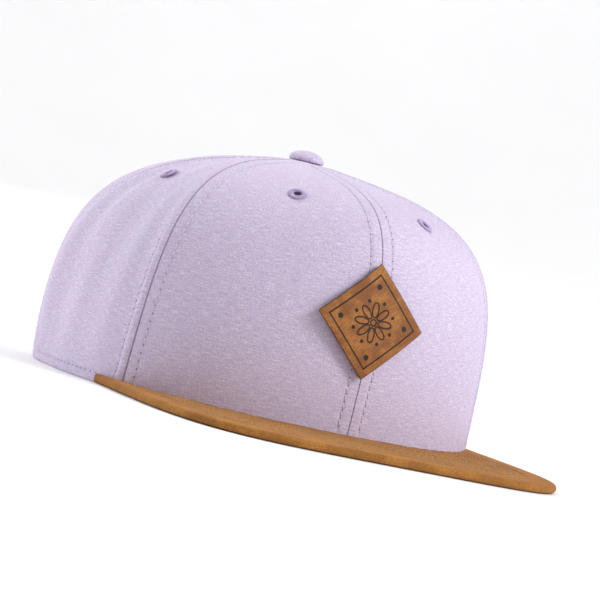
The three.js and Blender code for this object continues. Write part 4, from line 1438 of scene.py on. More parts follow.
for line in (eye, calc(tree, "ABSOLUTE", petal), small_dots, large_dots):
    nearest = calc(tree, "MINIMUM", nearest, line)
pressed = ramp(tree, nearest, LINE_WIDTH / 2 - 0.12, LINE_WIDTH / 2 + 0.12, 1.0, 0.0)

cloud = noise(tree, u, v, 0.12, 0.12, 4.0)
grain = noise(tree, u, v, 2.4, 2.4, 4.0)
scuffs = noise(tree, u, v, 0.35, 1.1, 5.0)
base = mix_colours(tree, ramp(tree, cloud, 0.36, 0.64), paint(144, 86, 32), paint(186, 122, 54))
base = mix_colours(tree, ramp(tree, scuffs, 0.42, 0.7, 0.0, 0.6), base, paint(128, 76, 32))
base = mix_colours(tree, ramp(tree, grain, 0.36, 0.62, 0.6, 0.0), base, paint(104, 62, 29))
# Near-black edge: partly the burnished cut edge, partly painted shade on the sides.
base = mix_colours(tree, ramp(tree, edge_gap, 0.05, 0.4, 1.0, 0.0), base, paint(30, 18, 14))
base = mix_colours(tree, pressed, base, paint(38, 20, 12))
relief = calc(tree, "MULTIPLY_ADD", grain, 0.12, calc(tree, "MULTIPLY", scuffs, 0.08))
relief = calc(tree, "MULTIPLY_ADD", pressed, -GROOVE_DEPTH, relief)
rough = ramp(tree, grain, 0.3, 0.7, 0.62, 0.8)
connect(tree, shader, base, relief, rough)

# %% Patch
EDGE_CROWDING = 1.25
EDGE_ROUNDING = 0.25
EDGE_ROUNDING_REACH = 0.5
PATCH_LIFT = 0.2
PATCH_BEND_RADIUS = RIM_FRONT + 1
even = np.linspace(-1, 1, PATCH_CELLS + 1)
line = PATCH_SIDE * np.sign(even) * (1 - (1 - np.abs(even)) ** EDGE_CROWDING)
u, v = np.meshgrid(line, line)
straight = PATCH_SIDE - PATCH_CORNER
corner_u, corner_v = np.abs(u) - straight, np.abs(v) - straight
in_corner = (corner_u > 0) & (corner_v > 0)
ring = np.maximum(corner_u, corner_v)
turn = np.arctan2(corner_v, corner_u)
u = np.where(in_corner, np.sign(u) * (straight + ring * np.cos(turn)), u)
v = np.where(in_corner, np.sign(v) * (straight + ring * np.sin(turn)), v)

to_edge = PATCH_SIDE - np.maximum(np.abs(u), np.abs(v))
across = (u - v) / math.sqrt(2)
height = (u + v) / math.sqrt(2)
angle = np.degrees((PATCH_CENTRE["across"] + across) / PATCH_BEND_RADIUS)
rise = rise_at_height(angle, PATCH_CENTRE["height"] + height)
rounding = EDGE_ROUNDING * np.clip(1 - to_edge / EDGE_ROUNDING_REACH, 0, 1) ** 2
out = main_relief(angle, rise) + PATCH_GAP + PATCH_THICKNESS + PATCH_LIFT
out = out + PATCH_STIFFNESS * across**2 / (2 * RIM_FRONT) - rounding
normal = crown_normal(angle, rise)
points = crown_base(angle, rise) + normal * out[..., None]
patch = grid_sheet("leather_patch", points, normal, patch=(u, v))
thicken(patch, PATCH_THICKNESS)
finish_piece(patch, leather, ["front_patch"], smooth_angle=50)
print("patch:", len(patch.data.polygons), "faces")

# %% [markdown]
# ## Woven tapes
# Inside, blue satin tape covers the raw edges of the seams and of the back opening. It is sewn along
# both sides, so it crowns a little between the rows. The strip follows the wall at its own depth, its
# long edges turn towards the cloth, and the material draws fine ribs across it, with painted shade in
# the furrows between ribs and threads.

# %% Blue tape
TAPE_DEPTH = 2.15
TAPE_THICKNESS = 0.7
TAPE_FACE_DEPTH = TAPE_DEPTH + TAPE_THICKNESS - 0.15
TAPE_ROW_DEPTH = TAPE_DEPTH + TAPE_THICKNESS - 0.1
TAPE_RIB = 0.55
TAPE_WARP = 0.35
TAPE_GAP = 0.3
TAPE_ROW_INSET = 1.5
SEAM_TAPE_WIDTH = 16
SEAM_TAPE_LOW = 27
SEAM_TAPE_TOP_RADIUS = 19.0
SEAM_TAPE_CROWN = 0.3
SEAM_TAPE_COLUMNS = 14
SEAM_TAPE_ROWS = 90
ARCH_TAPE_WIDTH = 8
ARCH_TAPE_CROWN = 0.2
ARCH_TAPE_COLUMNS = 12
ARCH_TAPE_ROWS = 150
ARCH_TAPE_SHARE = 0.75
ARCH_TAPE_ROW_SHARE = 0.74

blue_tape, tree, shader = new_material("blue_satin_tape", roughness=0.5, sheen_weight=0.25)
u, v = uv_places(tree, "tape")
ribs = ridges(tree, v, TAPE_RIB)
warp = ridges(tree, u, TAPE_WARP)
thread = noise(tree, u, v, 0.3, 3.0, 2.0)
base = mix_colours(tree, ramp(tree, thread, 0.3, 0.7), paint(56, 104, 148), paint(82, 130, 172))
# Painted shade in the furrows between the ribs and between the threads along the tape.
base = mix_colours(tree, ramp(tree, ribs, 0.0, 0.5, 0.5, 0.0), base, paint(28, 60, 98))
base = mix_colours(tree, ramp(tree, warp, 0.0, 0.5, 0.25, 0.0), base, paint(28, 60, 98))
relief = calc(tree, "MULTIPLY_ADD", ribs, 0.06, calc(tree, "MULTIPLY", warp, 0.02))
connect(tree, shader, base, relief)


def wall_point(angle, rise, depth):
    """A point inside the crown, which follows its main form but not its fine relief."""
    out = main_relief(angle, rise) - depth
    return crown_base(angle, rise) + crown_normal(angle, rise) * np.asarray(out)[..., None]


def tape_section(columns, crown):
    """Shares from -1 to 1 over a tape, and how far each place stands towards the head."""
    share = np.linspace(-1, 1, columns + 1)
    return share, crown * (1 - np.abs(share) ** 6) + trough(np.abs(share) - 0.8, 0.22, 0.06)


def lay_tape(node, angle, rise, stand, length, across):
    """Lays a tape on the wall. Its material reads the length and the place across, in mm."""
    points = wall_point(angle, rise, TAPE_FACE_DEPTH + stand)
    tape = grid_sheet(node + "_cloth", points, -crown_normal(angle, rise), tape=(across, length))
    thicken(tape, TAPE_THICKNESS * 0.85)
    finish_piece(tape, blue_tape, [node], smooth_angle=50)


def tape_row(angle, rise):
    return wall_point(angle, rise, TAPE_ROW_DEPTH), -crown_normal(angle, rise), None


tape_rows = []
column_share, tape_stand = tape_section(SEAM_TAPE_COLUMNS, SEAM_TAPE_CROWN)
across = SEAM_TAPE_WIDTH / 2 * column_share
top_radius = np.array(-SEAM_TAPE_TOP_RADIUS)
top_rise = float(solve_rise(lambda rise: -crown_section(90.0, rise)[0], top_radius))
for seam in SEAMS:
    behind = seam["name"] == "back_center"
    arch_tape_top = ARCH_SPRING + ARCH_RISE + ARCH_TAPE_WIDTH + 2 * TAPE_GAP
    low_rise = float(rise_at_height(seam["angle"], arch_tape_top if behind else SEAM_TAPE_LOW))
    rise = np.linspace(low_rise, top_rise, SEAM_TAPE_ROWS + 1)[:, None]
    middle = seam_angle(seam, rise)
    radius = crown_section(middle, rise)[0]
    for side, sign in SIDES if seam["paired"] else [("", 1)]:
        angle = sign * (middle + np.degrees(across / radius))
        node = f"seam_tape_{seam['name']}" + (f"_{side}" if side else "")
        lay_tape(node, angle, rise, tape_stand, crown_length(middle, rise), across)
        for way in (-1, 1):
            offset = way * (SEAM_TAPE_WIDTH / 2 - TAPE_ROW_INSET)
            row_angle = sign * (middle + np.degrees(offset / radius))
            tape_rows.append(tape_row(row_angle[:, 0], rise[:, 0]))

column_share, tape_stand = tape_section(ARCH_TAPE_COLUMNS, ARCH_TAPE_CROWN)
offset = TAPE_GAP + (column_share + 1) / 2 * (ARCH_TAPE_WIDTH - TAPE_GAP)
share = np.linspace(-ARCH_TAPE_SHARE, ARCH_TAPE_SHARE, ARCH_TAPE_ROWS + 1)[:, None]
angle, rise = arch_place(share, offset)
middle = ARCH_TAPE_COLUMNS // 2
length = path_lengths(wall_point(angle[:, middle], rise[:, middle], TAPE_DEPTH))[:, None]
lay_tape("arch_tape", angle, rise, tape_stand, length, offset)
share = np.linspace(-ARCH_TAPE_ROW_SHARE, ARCH_TAPE_ROW_SHARE, 300)
for inset in (TAPE_ROW_INSET, ARCH_TAPE_WIDTH - TAPE_ROW_INSET):
    tape_rows.append(tape_row(*arch_place(share, inset)))
blue_thread = thread_material("blue_thread", paint(104, 142, 178), paint(158, 186, 210))
sew("tape_stitches", tape_rows, blue_thread, thread=0.36)

# %% [markdown]
# ## Sweatband
# A strip of grey twill lies against the forehead. It is folded over at the top and sewn through below
# the fold, its ends are sewn down beside the back opening, and it bellies gently between the seams.
# The strip is a grid along the rim whose depth is the sum of those effects.

# %% Twill
BAND_HEIGHT = 33.3
BAND_LIFT = 0.5
BAND_DEPTH = 3.25
BAND_THICKNESS = 1.0
BAND_FACE_DEPTH = BAND_DEPTH + BAND_THICKNESS - 0.15
BAND_HALF_GAP = 41.2
BAND_ROW_DROP = 3.0
BAND_COLUMNS = 260
BAND_ROWS = 38

twill, tree, shader = new_material("grey_twill", roughness=0.95, sheen_weight=0.15)
u, v = uv_places(tree, "cloth")
slant = calc(tree, "ADD", u, v)
ribs = ridges(tree, slant, 0.75)
threads = ridges(tree, v, 0.4)
cloud = noise(tree, u, v, 0.08, 0.12, 3.0)
fuzz = noise(tree, u, v, 1.6, 1.6, 3.0)
base = mix_colours(tree, ramp(tree, cloud, 0.3, 0.7), paint(192, 188, 186), paint(202, 199, 197))
# Painted shade in the furrows between the twill's slanting ribs.
base = mix_colours(tree, ramp(tree, ribs, 0.0, 0.7, 0.45, 0.0), base, paint(132, 127, 126))
base = mix_colours(tree, ramp(tree, fuzz, 0.45, 0.75, 0.0, 0.3), base, paint(214, 211, 208))
relief = calc(tree, "MULTIPLY_ADD", ribs, 0.07, calc(tree, "MULTIPLY", threads, 0.02))
connect(tree, shader, base, relief)

# %% Sweatband
def inward_lean(angle, height):
    """How far the crown leans in over the rim at a height."""
    rise = rise_at_height(angle, height)
    wall = wall_point(angle, rise, 0.0)
    radius = np.hypot(wall[..., 0] - RIM_CENTRE_X, wall[..., 1] - RIM_CENTRE_Y)
    return np.maximum(rim_radius(angle) - radius, 0)


RIM_TABLE_ACROSS = np.linspace(0, 90, 181)
RIM_TABLE_ANGLE = back_place(RIM_TABLE_ACROSS, 0.0)[0]


def rim_angle(across):
    """The angle at which the back of the rim is a distance from the middle."""
    found = np.interp(np.abs(across), RIM_TABLE_ACROSS, RIM_TABLE_ANGLE)
    return np.where(np.asarray(across) < 0, -found, found)


def even_rim(start, end, columns):
    """Angles from start to end at even steps along the rim, and the lengths to them."""
    dense = np.linspace(start, end, RIM_POINTS)
    lengths = path_lengths(rim_inset(dense, 0, 0))
    places = np.linspace(0, lengths[-1], columns + 1)
    return np.interp(places, lengths, dense), places


band_end = float(rim_angle(BAND_HALF_GAP))
band_angle, band_length = even_rim(-band_end, band_end, BAND_COLUMNS)
LABEL_ANGLE = 109.5
LABEL_WIDTH = 42
label_turn = math.degrees(LABEL_WIDTH / 2 / float(rim_radius(LABEL_ANGLE)))


def band_stand(angle, length, height):
    """How far the sweatband stands towards the head from its flat place."""
    share = (height - BAND_LIFT) / (BAND_HEIGHT - BAND_LIFT)
    belly = np.sin(np.pi * np.clip(share, 0, 1)) ** 0.7
    slow_wave = 0.25 * np.sin(length / 11.0 - 0.05 * height)
    quick_wave = 0.12 * np.sin(length / 4.3 + 0.16 * height + 1.0)
    crease = np.maximum(np.sin(length / 6.1 + 0.07 * height + 1.4 * np.sin(length / 23.0)), 0) ** 5
    wave = slow_wave + quick_wave + 0.9 * crease
    calm = np.clip((np.abs(angle - LABEL_ANGLE) - label_turn) / 6, 0, 1)
    top_row = trough(BAND_HEIGHT - height - BAND_ROW_DROP, 0.4, 0.7)
    end_row = trough(np.minimum(length, band_length[-1] - length) - BAND_ROW_DROP, 0.4, 0.7)
    return (0.3 + wave) * belly * calm + top_row + end_row


def band_face(angle, length, height):
    """Places on the face of the sweatband, and the directions from them towards the head."""
    depth = BAND_FACE_DEPTH + inward_lean(angle, height) + band_stand(angle, length, height)
    points = rim_inset(angle, depth, height)
    return points, np.broadcast_to(-level_outward(angle), points.shape)


height = np.linspace(BAND_LIFT, BAND_HEIGHT, BAND_ROWS + 1)[:, None]
points, inward = band_face(band_angle[None, :], band_length[None, :], height)
band = grid_sheet("sweatband_twill", points, inward, cloth=(band_length, height))
thicken(band, BAND_THICKNESS * 0.8, rounding=0.28)
finish_piece(band, twill, ["sweatband"], smooth_angle=60)
print("sweatband:", round(float(band_length[-1])), "mm long,", len(band.data.polygons), "faces")

# %% Rows on the sweatband
BAND_ROW_END = 2
SIDE_ROW_INSET = 1.5
OVERLOCK_PITCH = 2.1
OVERLOCK_START = 0.3
OVERLOCK_SLANT = 1.5
OVERLOCK_HEIGHTS = np.array([1.0, 3.6])
grey_thread = thread_material("grey_thread", paint(200, 196, 193), paint(236, 233, 230))
fine_angle, fine_length = even_rim(-band_end, band_end, 2400)
inside = (fine_length > BAND_ROW_END) & (fine_length < fine_length[-1] - BAND_ROW_END)
row_height = BAND_HEIGHT - BAND_ROW_DROP
rows = [(*band_face(fine_angle[inside], fine_length[inside], row_height), None)]
climb = np.linspace(BAND_LIFT + SIDE_ROW_INSET, row_height - SIDE_ROW_INSET, 60)
for place in (BAND_ROW_DROP, float(band_length[-1]) - BAND_ROW_DROP):
    turn = float(np.interp(place, fine_length, fine_angle))
    rows.append((*band_face(turn, place, climb), None))
sew("sweatband_stitches", rows, grey_thread)
overlock = []
for step in range(int(fine_length[-1] / OVERLOCK_PITCH)):
    start = step * OVERLOCK_PITCH + OVERLOCK_START
    ends = np.array([start, start + OVERLOCK_SLANT])
    turn = np.interp(ends, fine_length, fine_angle)
    overlock.append((*band_face(turn, ends, OVERLOCK_HEIGHTS), None))
sew("sweatband_overlock", overlock, grey_thread, thread=0.36, length=2.6, pitch=2.8)

# %% [markdown]
# ## Cream edge at the rim
# Between crown and sweatband a thin cream edge shows all along the rim, bound over and over with
# thread, so that it looks like a fine rope. A tube along the rim gets slanting ridges two
# millimetres apart, and its material paints shade into the furrows between them.

# %% Rope-like edge
PIPING_DEPTH = 2.35
PIPING_HALF_GAP = 52
WRAP_PITCH = 2.0
WRAP_FURROW = 0.2
PIPING_COLUMNS = 1300
PIPING_SIDES = 8
PIPING_HEIGHT = 1.05
PIPING_HALF_WIDTH = 0.75
PIPING_HALF_HEIGHT = 0.95
piping_cloth, tree, shader = new_material("cream_binding", roughness=0.85, sheen_weight=0.15)
u, v = uv_places(tree, "tape")
fibre = noise(tree, u, v, 2.5, 6.0, 2.0)
slant = calc(tree, "ADD", calc(tree, "DIVIDE", u, WRAP_PITCH), calc(tree, "MULTIPLY", v, 0.16))
wrap = ridges(tree, slant, 1)
base = mix_colours(tree, ramp(tree, fibre, 0.3, 0.7), paint(219, 212, 198), paint(240, 235, 226))
# Painted shade in the furrows between the turns of the binding thread.
base = mix_colours(tree, ramp(tree, wrap, 0.0, 0.4, 0.6, 0.0), base, paint(142, 130, 116))
connect(tree, shader, base, calc(tree, "MULTIPLY", fibre, 0.05))

piping_end = float(rim_angle(PIPING_HALF_GAP))
angle, length = even_rim(-piping_end, piping_end, PIPING_COLUMNS)
turn = np.linspace(0, 2 * np.pi, PIPING_SIDES + 1)[:, None]
ridge = 1 - WRAP_FURROW * np.abs(np.cos(np.pi * (length / WRAP_PITCH) + turn / 2)) ** 3
rope = tube(
    "rim_binding",
    rim_inset(angle, PIPING_DEPTH, PIPING_HEIGHT),
    level_outward(angle),
    np.tile([0.0, 0.0, 1.0], (len(angle), 1)),
    PIPING_HALF_WIDTH * ridge,
    PIPING_HALF_HEIGHT * ridge,
    PIPING_SIDES,
    tape=(length, turn),
)
finish_piece(rope, piping_cloth, ["rim_piping"], smooth_angle=60)
print("binding:", len(rope.data.polygons), "faces")

# %% [markdown]
# ## Label
# A woven damask label is sewn on the sweatband, folded under on all four sides. Its face shows a fine
# satin grid. It stays without writing: three small lozenges between two waves, woven in a paler blue.

# %% Damask label
LABEL_LOW = 2
LABEL_HIGH = 32
LABEL_DEPTH = 4.65
LABEL_THICKNESS = 0.7
LABEL_COLUMNS = 70
LABEL_ROWS = 50
LABEL_ROW_INSET = 1.4
LABEL_SIDE_ROW_INSET = 1.8
LABEL_MIDDLE = 17
LOZENGE_HALF_PITCH = 4.5
LOZENGE_HALF_WIDTH = 2.2
ORNAMENT_HALF_WIDTH = 12.5
WAVE_HEIGHT = 0.7
WAVE_OFFSET = 5.6

damask, tree, shader = new_material("blue_damask", roughness=0.45, sheen_weight=0.2)
u, v = uv_places(tree, "label")
across_threads = ridges(tree, v, 0.3)
up_threads = ridges(tree, u, 0.4)
tone = noise(tree, u, v, 0.5, 3.2, 2.0)
base = mix_colours(tree, ramp(tree, tone, 0.3, 0.7), paint(82, 142, 184), paint(108, 166, 204))
place = calc(tree, "PINGPONG", calc(tree, "ADD", u, LOZENGE_HALF_PITCH), LOZENGE_HALF_PITCH)
beside = calc(tree, "SUBTRACT", LOZENGE_HALF_PITCH, place)
above = gap_from(tree, v, LABEL_MIDDLE)
from_middle = calc(tree, "ADD", beside, above)
lozenges = ramp(tree, from_middle, LOZENGE_HALF_WIDTH, LOZENGE_HALF_WIDTH + 0.3, 1.0, 0.0)
ripple = calc(tree, "SINE", calc(tree, "MULTIPLY", u, math.pi / LOZENGE_HALF_PITCH))
rippled = calc(tree, "MULTIPLY_ADD", ripple, WAVE_HEIGHT, above)
waves = ramp(tree, gap_from(tree, rippled, WAVE_OFFSET), 0.3, 0.6, 1.0, 0.0)
off_middle = calc(tree, "ABSOLUTE", u)
within = ramp(tree, off_middle, ORNAMENT_HALF_WIDTH, ORNAMENT_HALF_WIDTH + 0.3, 1.0, 0.0)
woven = calc(tree, "MULTIPLY", calc(tree, "MAXIMUM", lozenges, waves), within)
base = mix_colours(tree, calc(tree, "MULTIPLY", woven, 0.8), base, paint(206, 224, 238))
# Painted shade between the level threads of the label's face.
base = mix_colours(tree, ramp(tree, across_threads, 0.0, 0.6, 0.3, 0.0), base, paint(50, 98, 136))
relief = calc(tree, "MULTIPLY_ADD", across_threads, 0.04, calc(tree, "MULTIPLY", up_threads, 0.03))
relief = calc(tree, "MULTIPLY_ADD", woven, 0.05, relief)
connect(tree, shader, base, relief)

label_start, label_end = LABEL_ANGLE - label_turn, LABEL_ANGLE + label_turn
label_angle, label_length = even_rim(label_start, label_end, LABEL_COLUMNS)
height = np.linspace(LABEL_LOW, LABEL_HIGH, LABEL_ROWS + 1)[:, None]
to_side = np.minimum(label_length, label_length[-1] - label_length)
to_hem = np.minimum(to_side, np.minimum(height - LABEL_LOW, LABEL_HIGH - height))
puff = 0.25 * np.clip(to_hem / 4, 0, 1) ** 0.5 + trough(to_hem - LABEL_ROW_INSET, 0.18, 0.4)
depth = LABEL_DEPTH + LABEL_THICKNESS - 0.1 + inward_lean(label_angle[None, :], height) + puff
label = grid_sheet(
    "inside_label",
    rim_inset(label_angle, depth, height),
    -level_outward(label_angle),
    label=(label_length - label_length[-1] / 2, height),
)
thicken(label, LABEL_THICKNESS * 0.8, rounding=0.2)
finish_piece(label, damask, ["inner_label"], smooth_angle=60)
print("label:", len(label.data.polygons), "faces")


def label_row(places, heights):
    places, heights = np.broadcast_arrays(np.asarray(places, float), np.asarray(heights, float))
    angle = np.interp(places, label_length, label_angle)
    depth = LABEL_DEPTH + LABEL_THICKNESS - 0.02 + inward_lean(angle, heights)
    return rim_inset(angle, depth, heights), -level_outward(angle), None


last = label_length[-1] - LABEL_ROW_INSET
run = np.linspace(LABEL_ROW_INSET, last, 120)
climb = np.linspace(LABEL_LOW + LABEL_SIDE_ROW_INSET, LABEL_HIGH - LABEL_SIDE_ROW_INSET, 80)
rows = [label_row(run, LABEL_LOW + LABEL_ROW_INSET), label_row(run, LABEL_HIGH - LABEL_ROW_INSET)]
rows += [label_row(LABEL_ROW_INSET, climb), label_row(last, climb)]
label_thread = thread_material("pale_blue_thread", paint(120, 160, 190), paint(186, 208, 224))
sew("label_stitches", rows, label_thread, thread=0.34, length=2.0, pitch=2.7)

# %% [markdown]
# ## Snap strap
# Two straps of soft translucent plastic cross the opening, one with a row of pegs and one with holes.
# Both are moulded with rounded edges, and a raised ring goes round every hole. The blank is a grid
# with one round end. Solidify and Bevel make it a moulding, Boolean pierces it, and one peg is copied
# along it.

# %% Plastic
STRAP_HEIGHT = 18
STRAP_THICKNESS = 0.9
STRAP_TONGUE = 50
STRAP_DEPTH = 1.9
PEG_STRAP = {"name": "peg", "low": 2, "side": -1, "end": 26, "lap_depth": 3.1}
HOLE_STRAP = {"name": "hole", "low": 1.2, "side": 1, "end": 21, "lap_depth": 1.9}
BEND_FROM = 36
BEND_TO = 25
SNAP_PITCH = 8.7
SNAP_OFFSET = 2.4
SNAP_HEIGHT = 10.6
PEG_PLACES = range(-4, 3)
HOLE_PLACES = range(-2, 5)
PEG_RADIUS = 1.2
PEG_LENGTH = 2.5
HOLE_RADIUS = 1.7
PEG_ROUNDING = 0.45
RING_GAP = 0.35
RING_THREAD = 0.4
RING_SINK = 0.22
DRILL_LENGTH = 6
STRAP_ALPHA = 0.72
STRAP_STRAIGHT_POINTS = 61
STRAP_ROUND_POINTS = 18
STRAP_POINT_ROWS = 13
STRAP_MERGE = 0.01
UPRIGHT = np.array([0.0, 0.0, 1.0])

plastic, tree, shader = new_material("taupe_snap_plastic", roughness=0.32, alpha=STRAP_ALPHA)
cloud = space_noise(tree, 120.0, 3.0)
fine = space_noise(tree, 1400.0, 2.0)
base = mix_colours(tree, ramp(tree, cloud, 0.3, 0.7), paint(172, 154, 156), paint(180, 162, 163))
rough = ramp(tree, fine, 0.3, 0.7, 0.28, 0.4)
connect(tree, shader, base, calc(tree, "MULTIPLY", fine, 0.03), rough)


def strap_depth(strap, across):
    """Depth of the outer face of a strap, which bends inwards where the two halves lap."""
    share = np.clip((BEND_FROM - across * strap["side"]) / (BEND_FROM - BEND_TO), 0, 1)
    return STRAP_DEPTH + (strap["lap_depth"] - STRAP_DEPTH) * share**2 * (3 - 2 * share)


def snap_place(strap, place):
    """Centre of a peg or hole on the outer face of a strap, and its axes, the last one outward."""
    across = SNAP_OFFSET + SNAP_PITCH * place
    angle = rim_angle(across)
    outward = level_outward(angle)
    centre = rim_inset(angle, strap_depth(strap, across), SNAP_HEIGHT)
    return centre, (np.cross(UPRIGHT, outward), UPRIGHT, outward)


def mould_strap(strap):
    """The bent blank with one round end."""
    half = STRAP_HEIGHT / 2
    round_start = half - strap["end"]
    straight = np.linspace(STRAP_TONGUE, round_start, STRAP_STRAIGHT_POINTS)
    round_turn = np.linspace(0, np.pi / 2, STRAP_ROUND_POINTS + 1)[1:]
    across = np.concatenate([straight, round_start - half * np.sin(round_turn)])
    half_height = np.concatenate([np.full(STRAP_STRAIGHT_POINTS, half), half * np.cos(round_turn)])
    share = np.linspace(-1, 1, STRAP_POINT_ROWS)[:, None]
    height = strap["low"] + half + half_height * share
    x = across * strap["side"]
    angle = rim_angle(x)
    points = rim_inset(angle, strap_depth(strap, x), height)
    piece = grid_sheet(f"{strap['name']}_strap_plastic", points, level_outward(angle))
    activate(piece)
    bpy.ops.object.mode_set(mode="EDIT")
    bpy.ops.mesh.select_all(action="SELECT")
    bpy.ops.mesh.remove_doubles(threshold=STRAP_MERGE * MM)
    bpy.ops.object.mode_set(mode="OBJECT")
    thicken(piece, STRAP_THICKNESS, rounding=0.3, segments=3, angle=50)
    return piece


def join(main, others):
    activate(main)
    for other in others:
        other.select_set(True)
    bpy.ops.object.join()


# %% Peg strap
peg_strap = mould_strap(PEG_STRAP)
deselect()
bpy.ops.mesh.primitive_cylinder_add(vertices=24, radius=PEG_RADIUS * MM, depth=PEG_LENGTH * MM)
peg = bpy.context.object
clear_selection(peg)
for face in peg.data.polygons:
    face.select = face.normal.z > 0.9
bpy.ops.object.mode_set(mode="EDIT")
bpy.ops.mesh.bevel(offset=PEG_ROUNDING * MM, segments=4, affect="EDGES")
bpy.ops.object.mode_set(mode="OBJECT")
pegs = []
for place in PEG_PLACES:
    centre, axes = snap_place(PEG_STRAP, place)
    seat = centre + axes[2] * (PEG_LENGTH / 2 - STRAP_THICKNESS / 2)
    pegs.append(copy_to(peg, f"peg_{place}", seat, *axes))
bpy.data.objects.remove(peg)
join(peg_strap, pegs)
finish_piece(peg_strap, plastic, ["peg_strap"])

# %% Hole strap
hole_strap = mould_strap(HOLE_STRAP)
deselect()
bpy.ops.mesh.primitive_torus_add(
    major_segments=36,
    minor_segments=10,
    major_radius=(HOLE_RADIUS + RING_GAP) * MM,
    minor_radius=RING_THREAD * MM,
)
hole_ring = bpy.context.object
deselect()
bpy.ops.mesh.primitive_cylinder_add(vertices=36, radius=HOLE_RADIUS * MM, depth=DRILL_LENGTH * MM)
drill = bpy.context.object
rings, drills = [], []
for place in HOLE_PLACES:
    centre, axes = snap_place(HOLE_STRAP, place)
    middle = centre - axes[2] * STRAP_THICKNESS / 2
    drills.append(copy_to(drill, f"drill_{place}", middle, *axes))
    for way in (-1, 1):
        seat = middle + axes[2] * way * (STRAP_THICKNESS / 2 - RING_SINK)
        rings.append(copy_to(hole_ring, f"ring_{place}_{way}", seat, *axes))
bpy.data.objects.remove(drill)
bpy.data.objects.remove(hole_ring)
join(drills[0], drills[1:])
apply_modifier(hole_strap, "BOOLEAN", operation="DIFFERENCE", object=drills[0], solver="EXACT")
bpy.data.objects.remove(drills[0])
join(hole_strap, rings)
finish_piece(hole_strap, plastic, ["hole_strap"])
print("straps:", len(peg_strap.data.polygons), "and", len(hole_strap.data.polygons), "faces")

# %% [markdown]
# ## Floor, light and camera
# The cap stands on a pale floor that curves up far behind it, so that no horizon shows. A soft key
# light from the right front models the gores. One comes from behind on the left, a weak one from the
# top, one shines into the back opening and one lights the floor's far curve. The camera has the
# photograph's bearing, roll and lens. It stands a little above the floor, not below the cap.

# %% Floor
FLOOR_RADIUS = 1.45
BOWL_STEPS = 12
BOWL_RADIUS = 1.1
deselect()
bpy.ops.mesh.primitive_circle_add(vertices=96, radius=FLOOR_RADIUS, fill_type="NGON", location=(0, 0, 0))
floor = bpy.context.object
floor.name = floor.data.name = "floor"
bpy.ops.object.mode_set(mode="EDIT")
bpy.ops.mesh.select_mode(type="EDGE")
bpy.ops.mesh.select_all(action="SELECT")
stride = BOWL_RADIUS * math.pi / 2 / BOWL_STEPS
for step in range(BOWL_STEPS):
    turn = (step + 0.5) / BOWL_STEPS * math.pi / 2
    radius = FLOOR_RADIUS + BOWL_RADIUS * math.sin(step / BOWL_STEPS * math.pi / 2)
    wider = (radius + stride * math.cos(turn)) / radius
    bpy.ops.mesh.select_all(action="DESELECT")
    bpy.ops.mesh.select_non_manifold()
    bpy.ops.mesh.extrude_edges_move(TRANSFORM_OT_translate={"value": (0, 0, stride * math.sin(turn))})
    bpy.ops.transform.resize(value=(wider, wider, 1))
bpy.ops.object.mode_set(mode="OBJECT")
floor_finish, tree, shader = new_material("pale_paper", roughness=0.9)
mottle = space_noise(tree, 6.0)
connect(tree, shader, mix_colours(tree, mottle, paint(243, 243, 244), paint(247, 247, 248)))
floor.data.materials.append(floor_finish)
activate(floor)
bpy.ops.object.shade_smooth()

# %% Lights
CROWN_MIDDLE = (0, RIM_CENTRE_Y * MM, 0.05)
WALL_BEHIND = (0.9, 2.0, 0.6)
WORLD_STRENGTH = 0.34


def direction(azimuth, elevation):
    """The direction away from the cap, azimuth 0 in front of it and 90 on its +X side."""
    turn, climb = math.radians(azimuth), math.radians(elevation)
    level = math.cos(climb)
    return Vector((math.sin(turn) * level, -math.cos(turn) * level, math.sin(climb)))


def soft_light(name, azimuth, elevation, distance, size, power, target=CROWN_MIDDLE):
    """A square softbox that looks at a target from a direction."""
    away = direction(azimuth, elevation)
    target = Vector(target)
    deselect()
    bpy.ops.object.light_add(type="AREA", location=target + away * distance)
    light = bpy.context.object
    light.name = light.data.name = name
    light.rotation_euler = away.to_track_quat("Z", "Y").to_euler()
    light.data.shape = "SQUARE"
    light.data.size = size
    light.data.energy = power


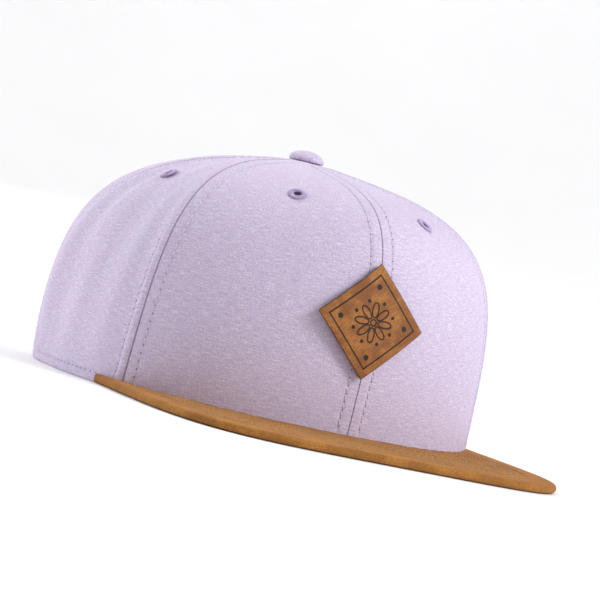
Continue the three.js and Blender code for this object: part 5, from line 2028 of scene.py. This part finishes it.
soft_light("key_light", 39, 34, 1.5, 0.6, 15.5)
soft_light("side_light", -132, 26, 1.6, 0.6, 12.5)
soft_light("top_light", 150, 78, 1.5, 1.0, 3)
soft_light("back_light", 180, 14, 1.7, 0.7, 6)
soft_light("backdrop_light", -20, 50, 1.9, 1.6, 20, WALL_BEHIND)
world = bpy.data.worlds.new("studio")
bpy.context.scene.world = world
world.use_nodes = True
world.node_tree.nodes["Background"].inputs[0].default_value = (1, 1, 1, 1)
world.node_tree.nodes["Background"].inputs[1].default_value = WORLD_STRENGTH
bpy.context.scene.view_settings.view_transform = "Standard"

# %% Camera
CAMERA_AZIMUTH = -25.17
CAMERA_ELEVATION = 4.0
CAMERA_ROLL = 13.22
CAMERA_DISTANCE = 1029.3
CAMERA_LENS = 137.1
SENSOR_WIDTH = 36
IMAGE_WIDTH = 600
AIM_RIGHT = 52.5
AIM_UP = 105.5

azimuth, lean = math.radians(CAMERA_AZIMUTH), math.radians(CAMERA_ROLL)
back = direction(CAMERA_AZIMUTH, CAMERA_ELEVATION)
level_right = Vector((math.cos(azimuth), math.sin(azimuth), 0))
level_up = back.cross(level_right)
right = math.cos(lean) * level_right + math.sin(lean) * level_up
up_axis = -math.sin(lean) * level_right + math.cos(lean) * level_up
pixel = CAMERA_DISTANCE * SENSOR_WIDTH / CAMERA_LENS / IMAGE_WIDTH
rim_centre = Vector((RIM_CENTRE_X, RIM_CENTRE_Y, 0))
eye = rim_centre + back * CAMERA_DISTANCE
aim = rim_centre + right * AIM_RIGHT * pixel + up_axis * AIM_UP * pixel
look_back = (eye - aim).normalized()
camera_right = up_axis.cross(look_back).normalized()
camera_up = look_back.cross(camera_right)
deselect()
bpy.ops.object.camera_add(location=eye * MM)
camera = bpy.context.object
camera.name = camera.data.name = "studio_camera"
camera.rotation_euler = Matrix((camera_right, camera_up, look_back)).transposed().to_euler()
camera.data.lens = CAMERA_LENS
camera.data.sensor_width = SENSOR_WIDTH
camera.data.clip_start = 0.01
bpy.context.scene.camera = camera
print("camera at", [round(value, 3) for value in camera.location])
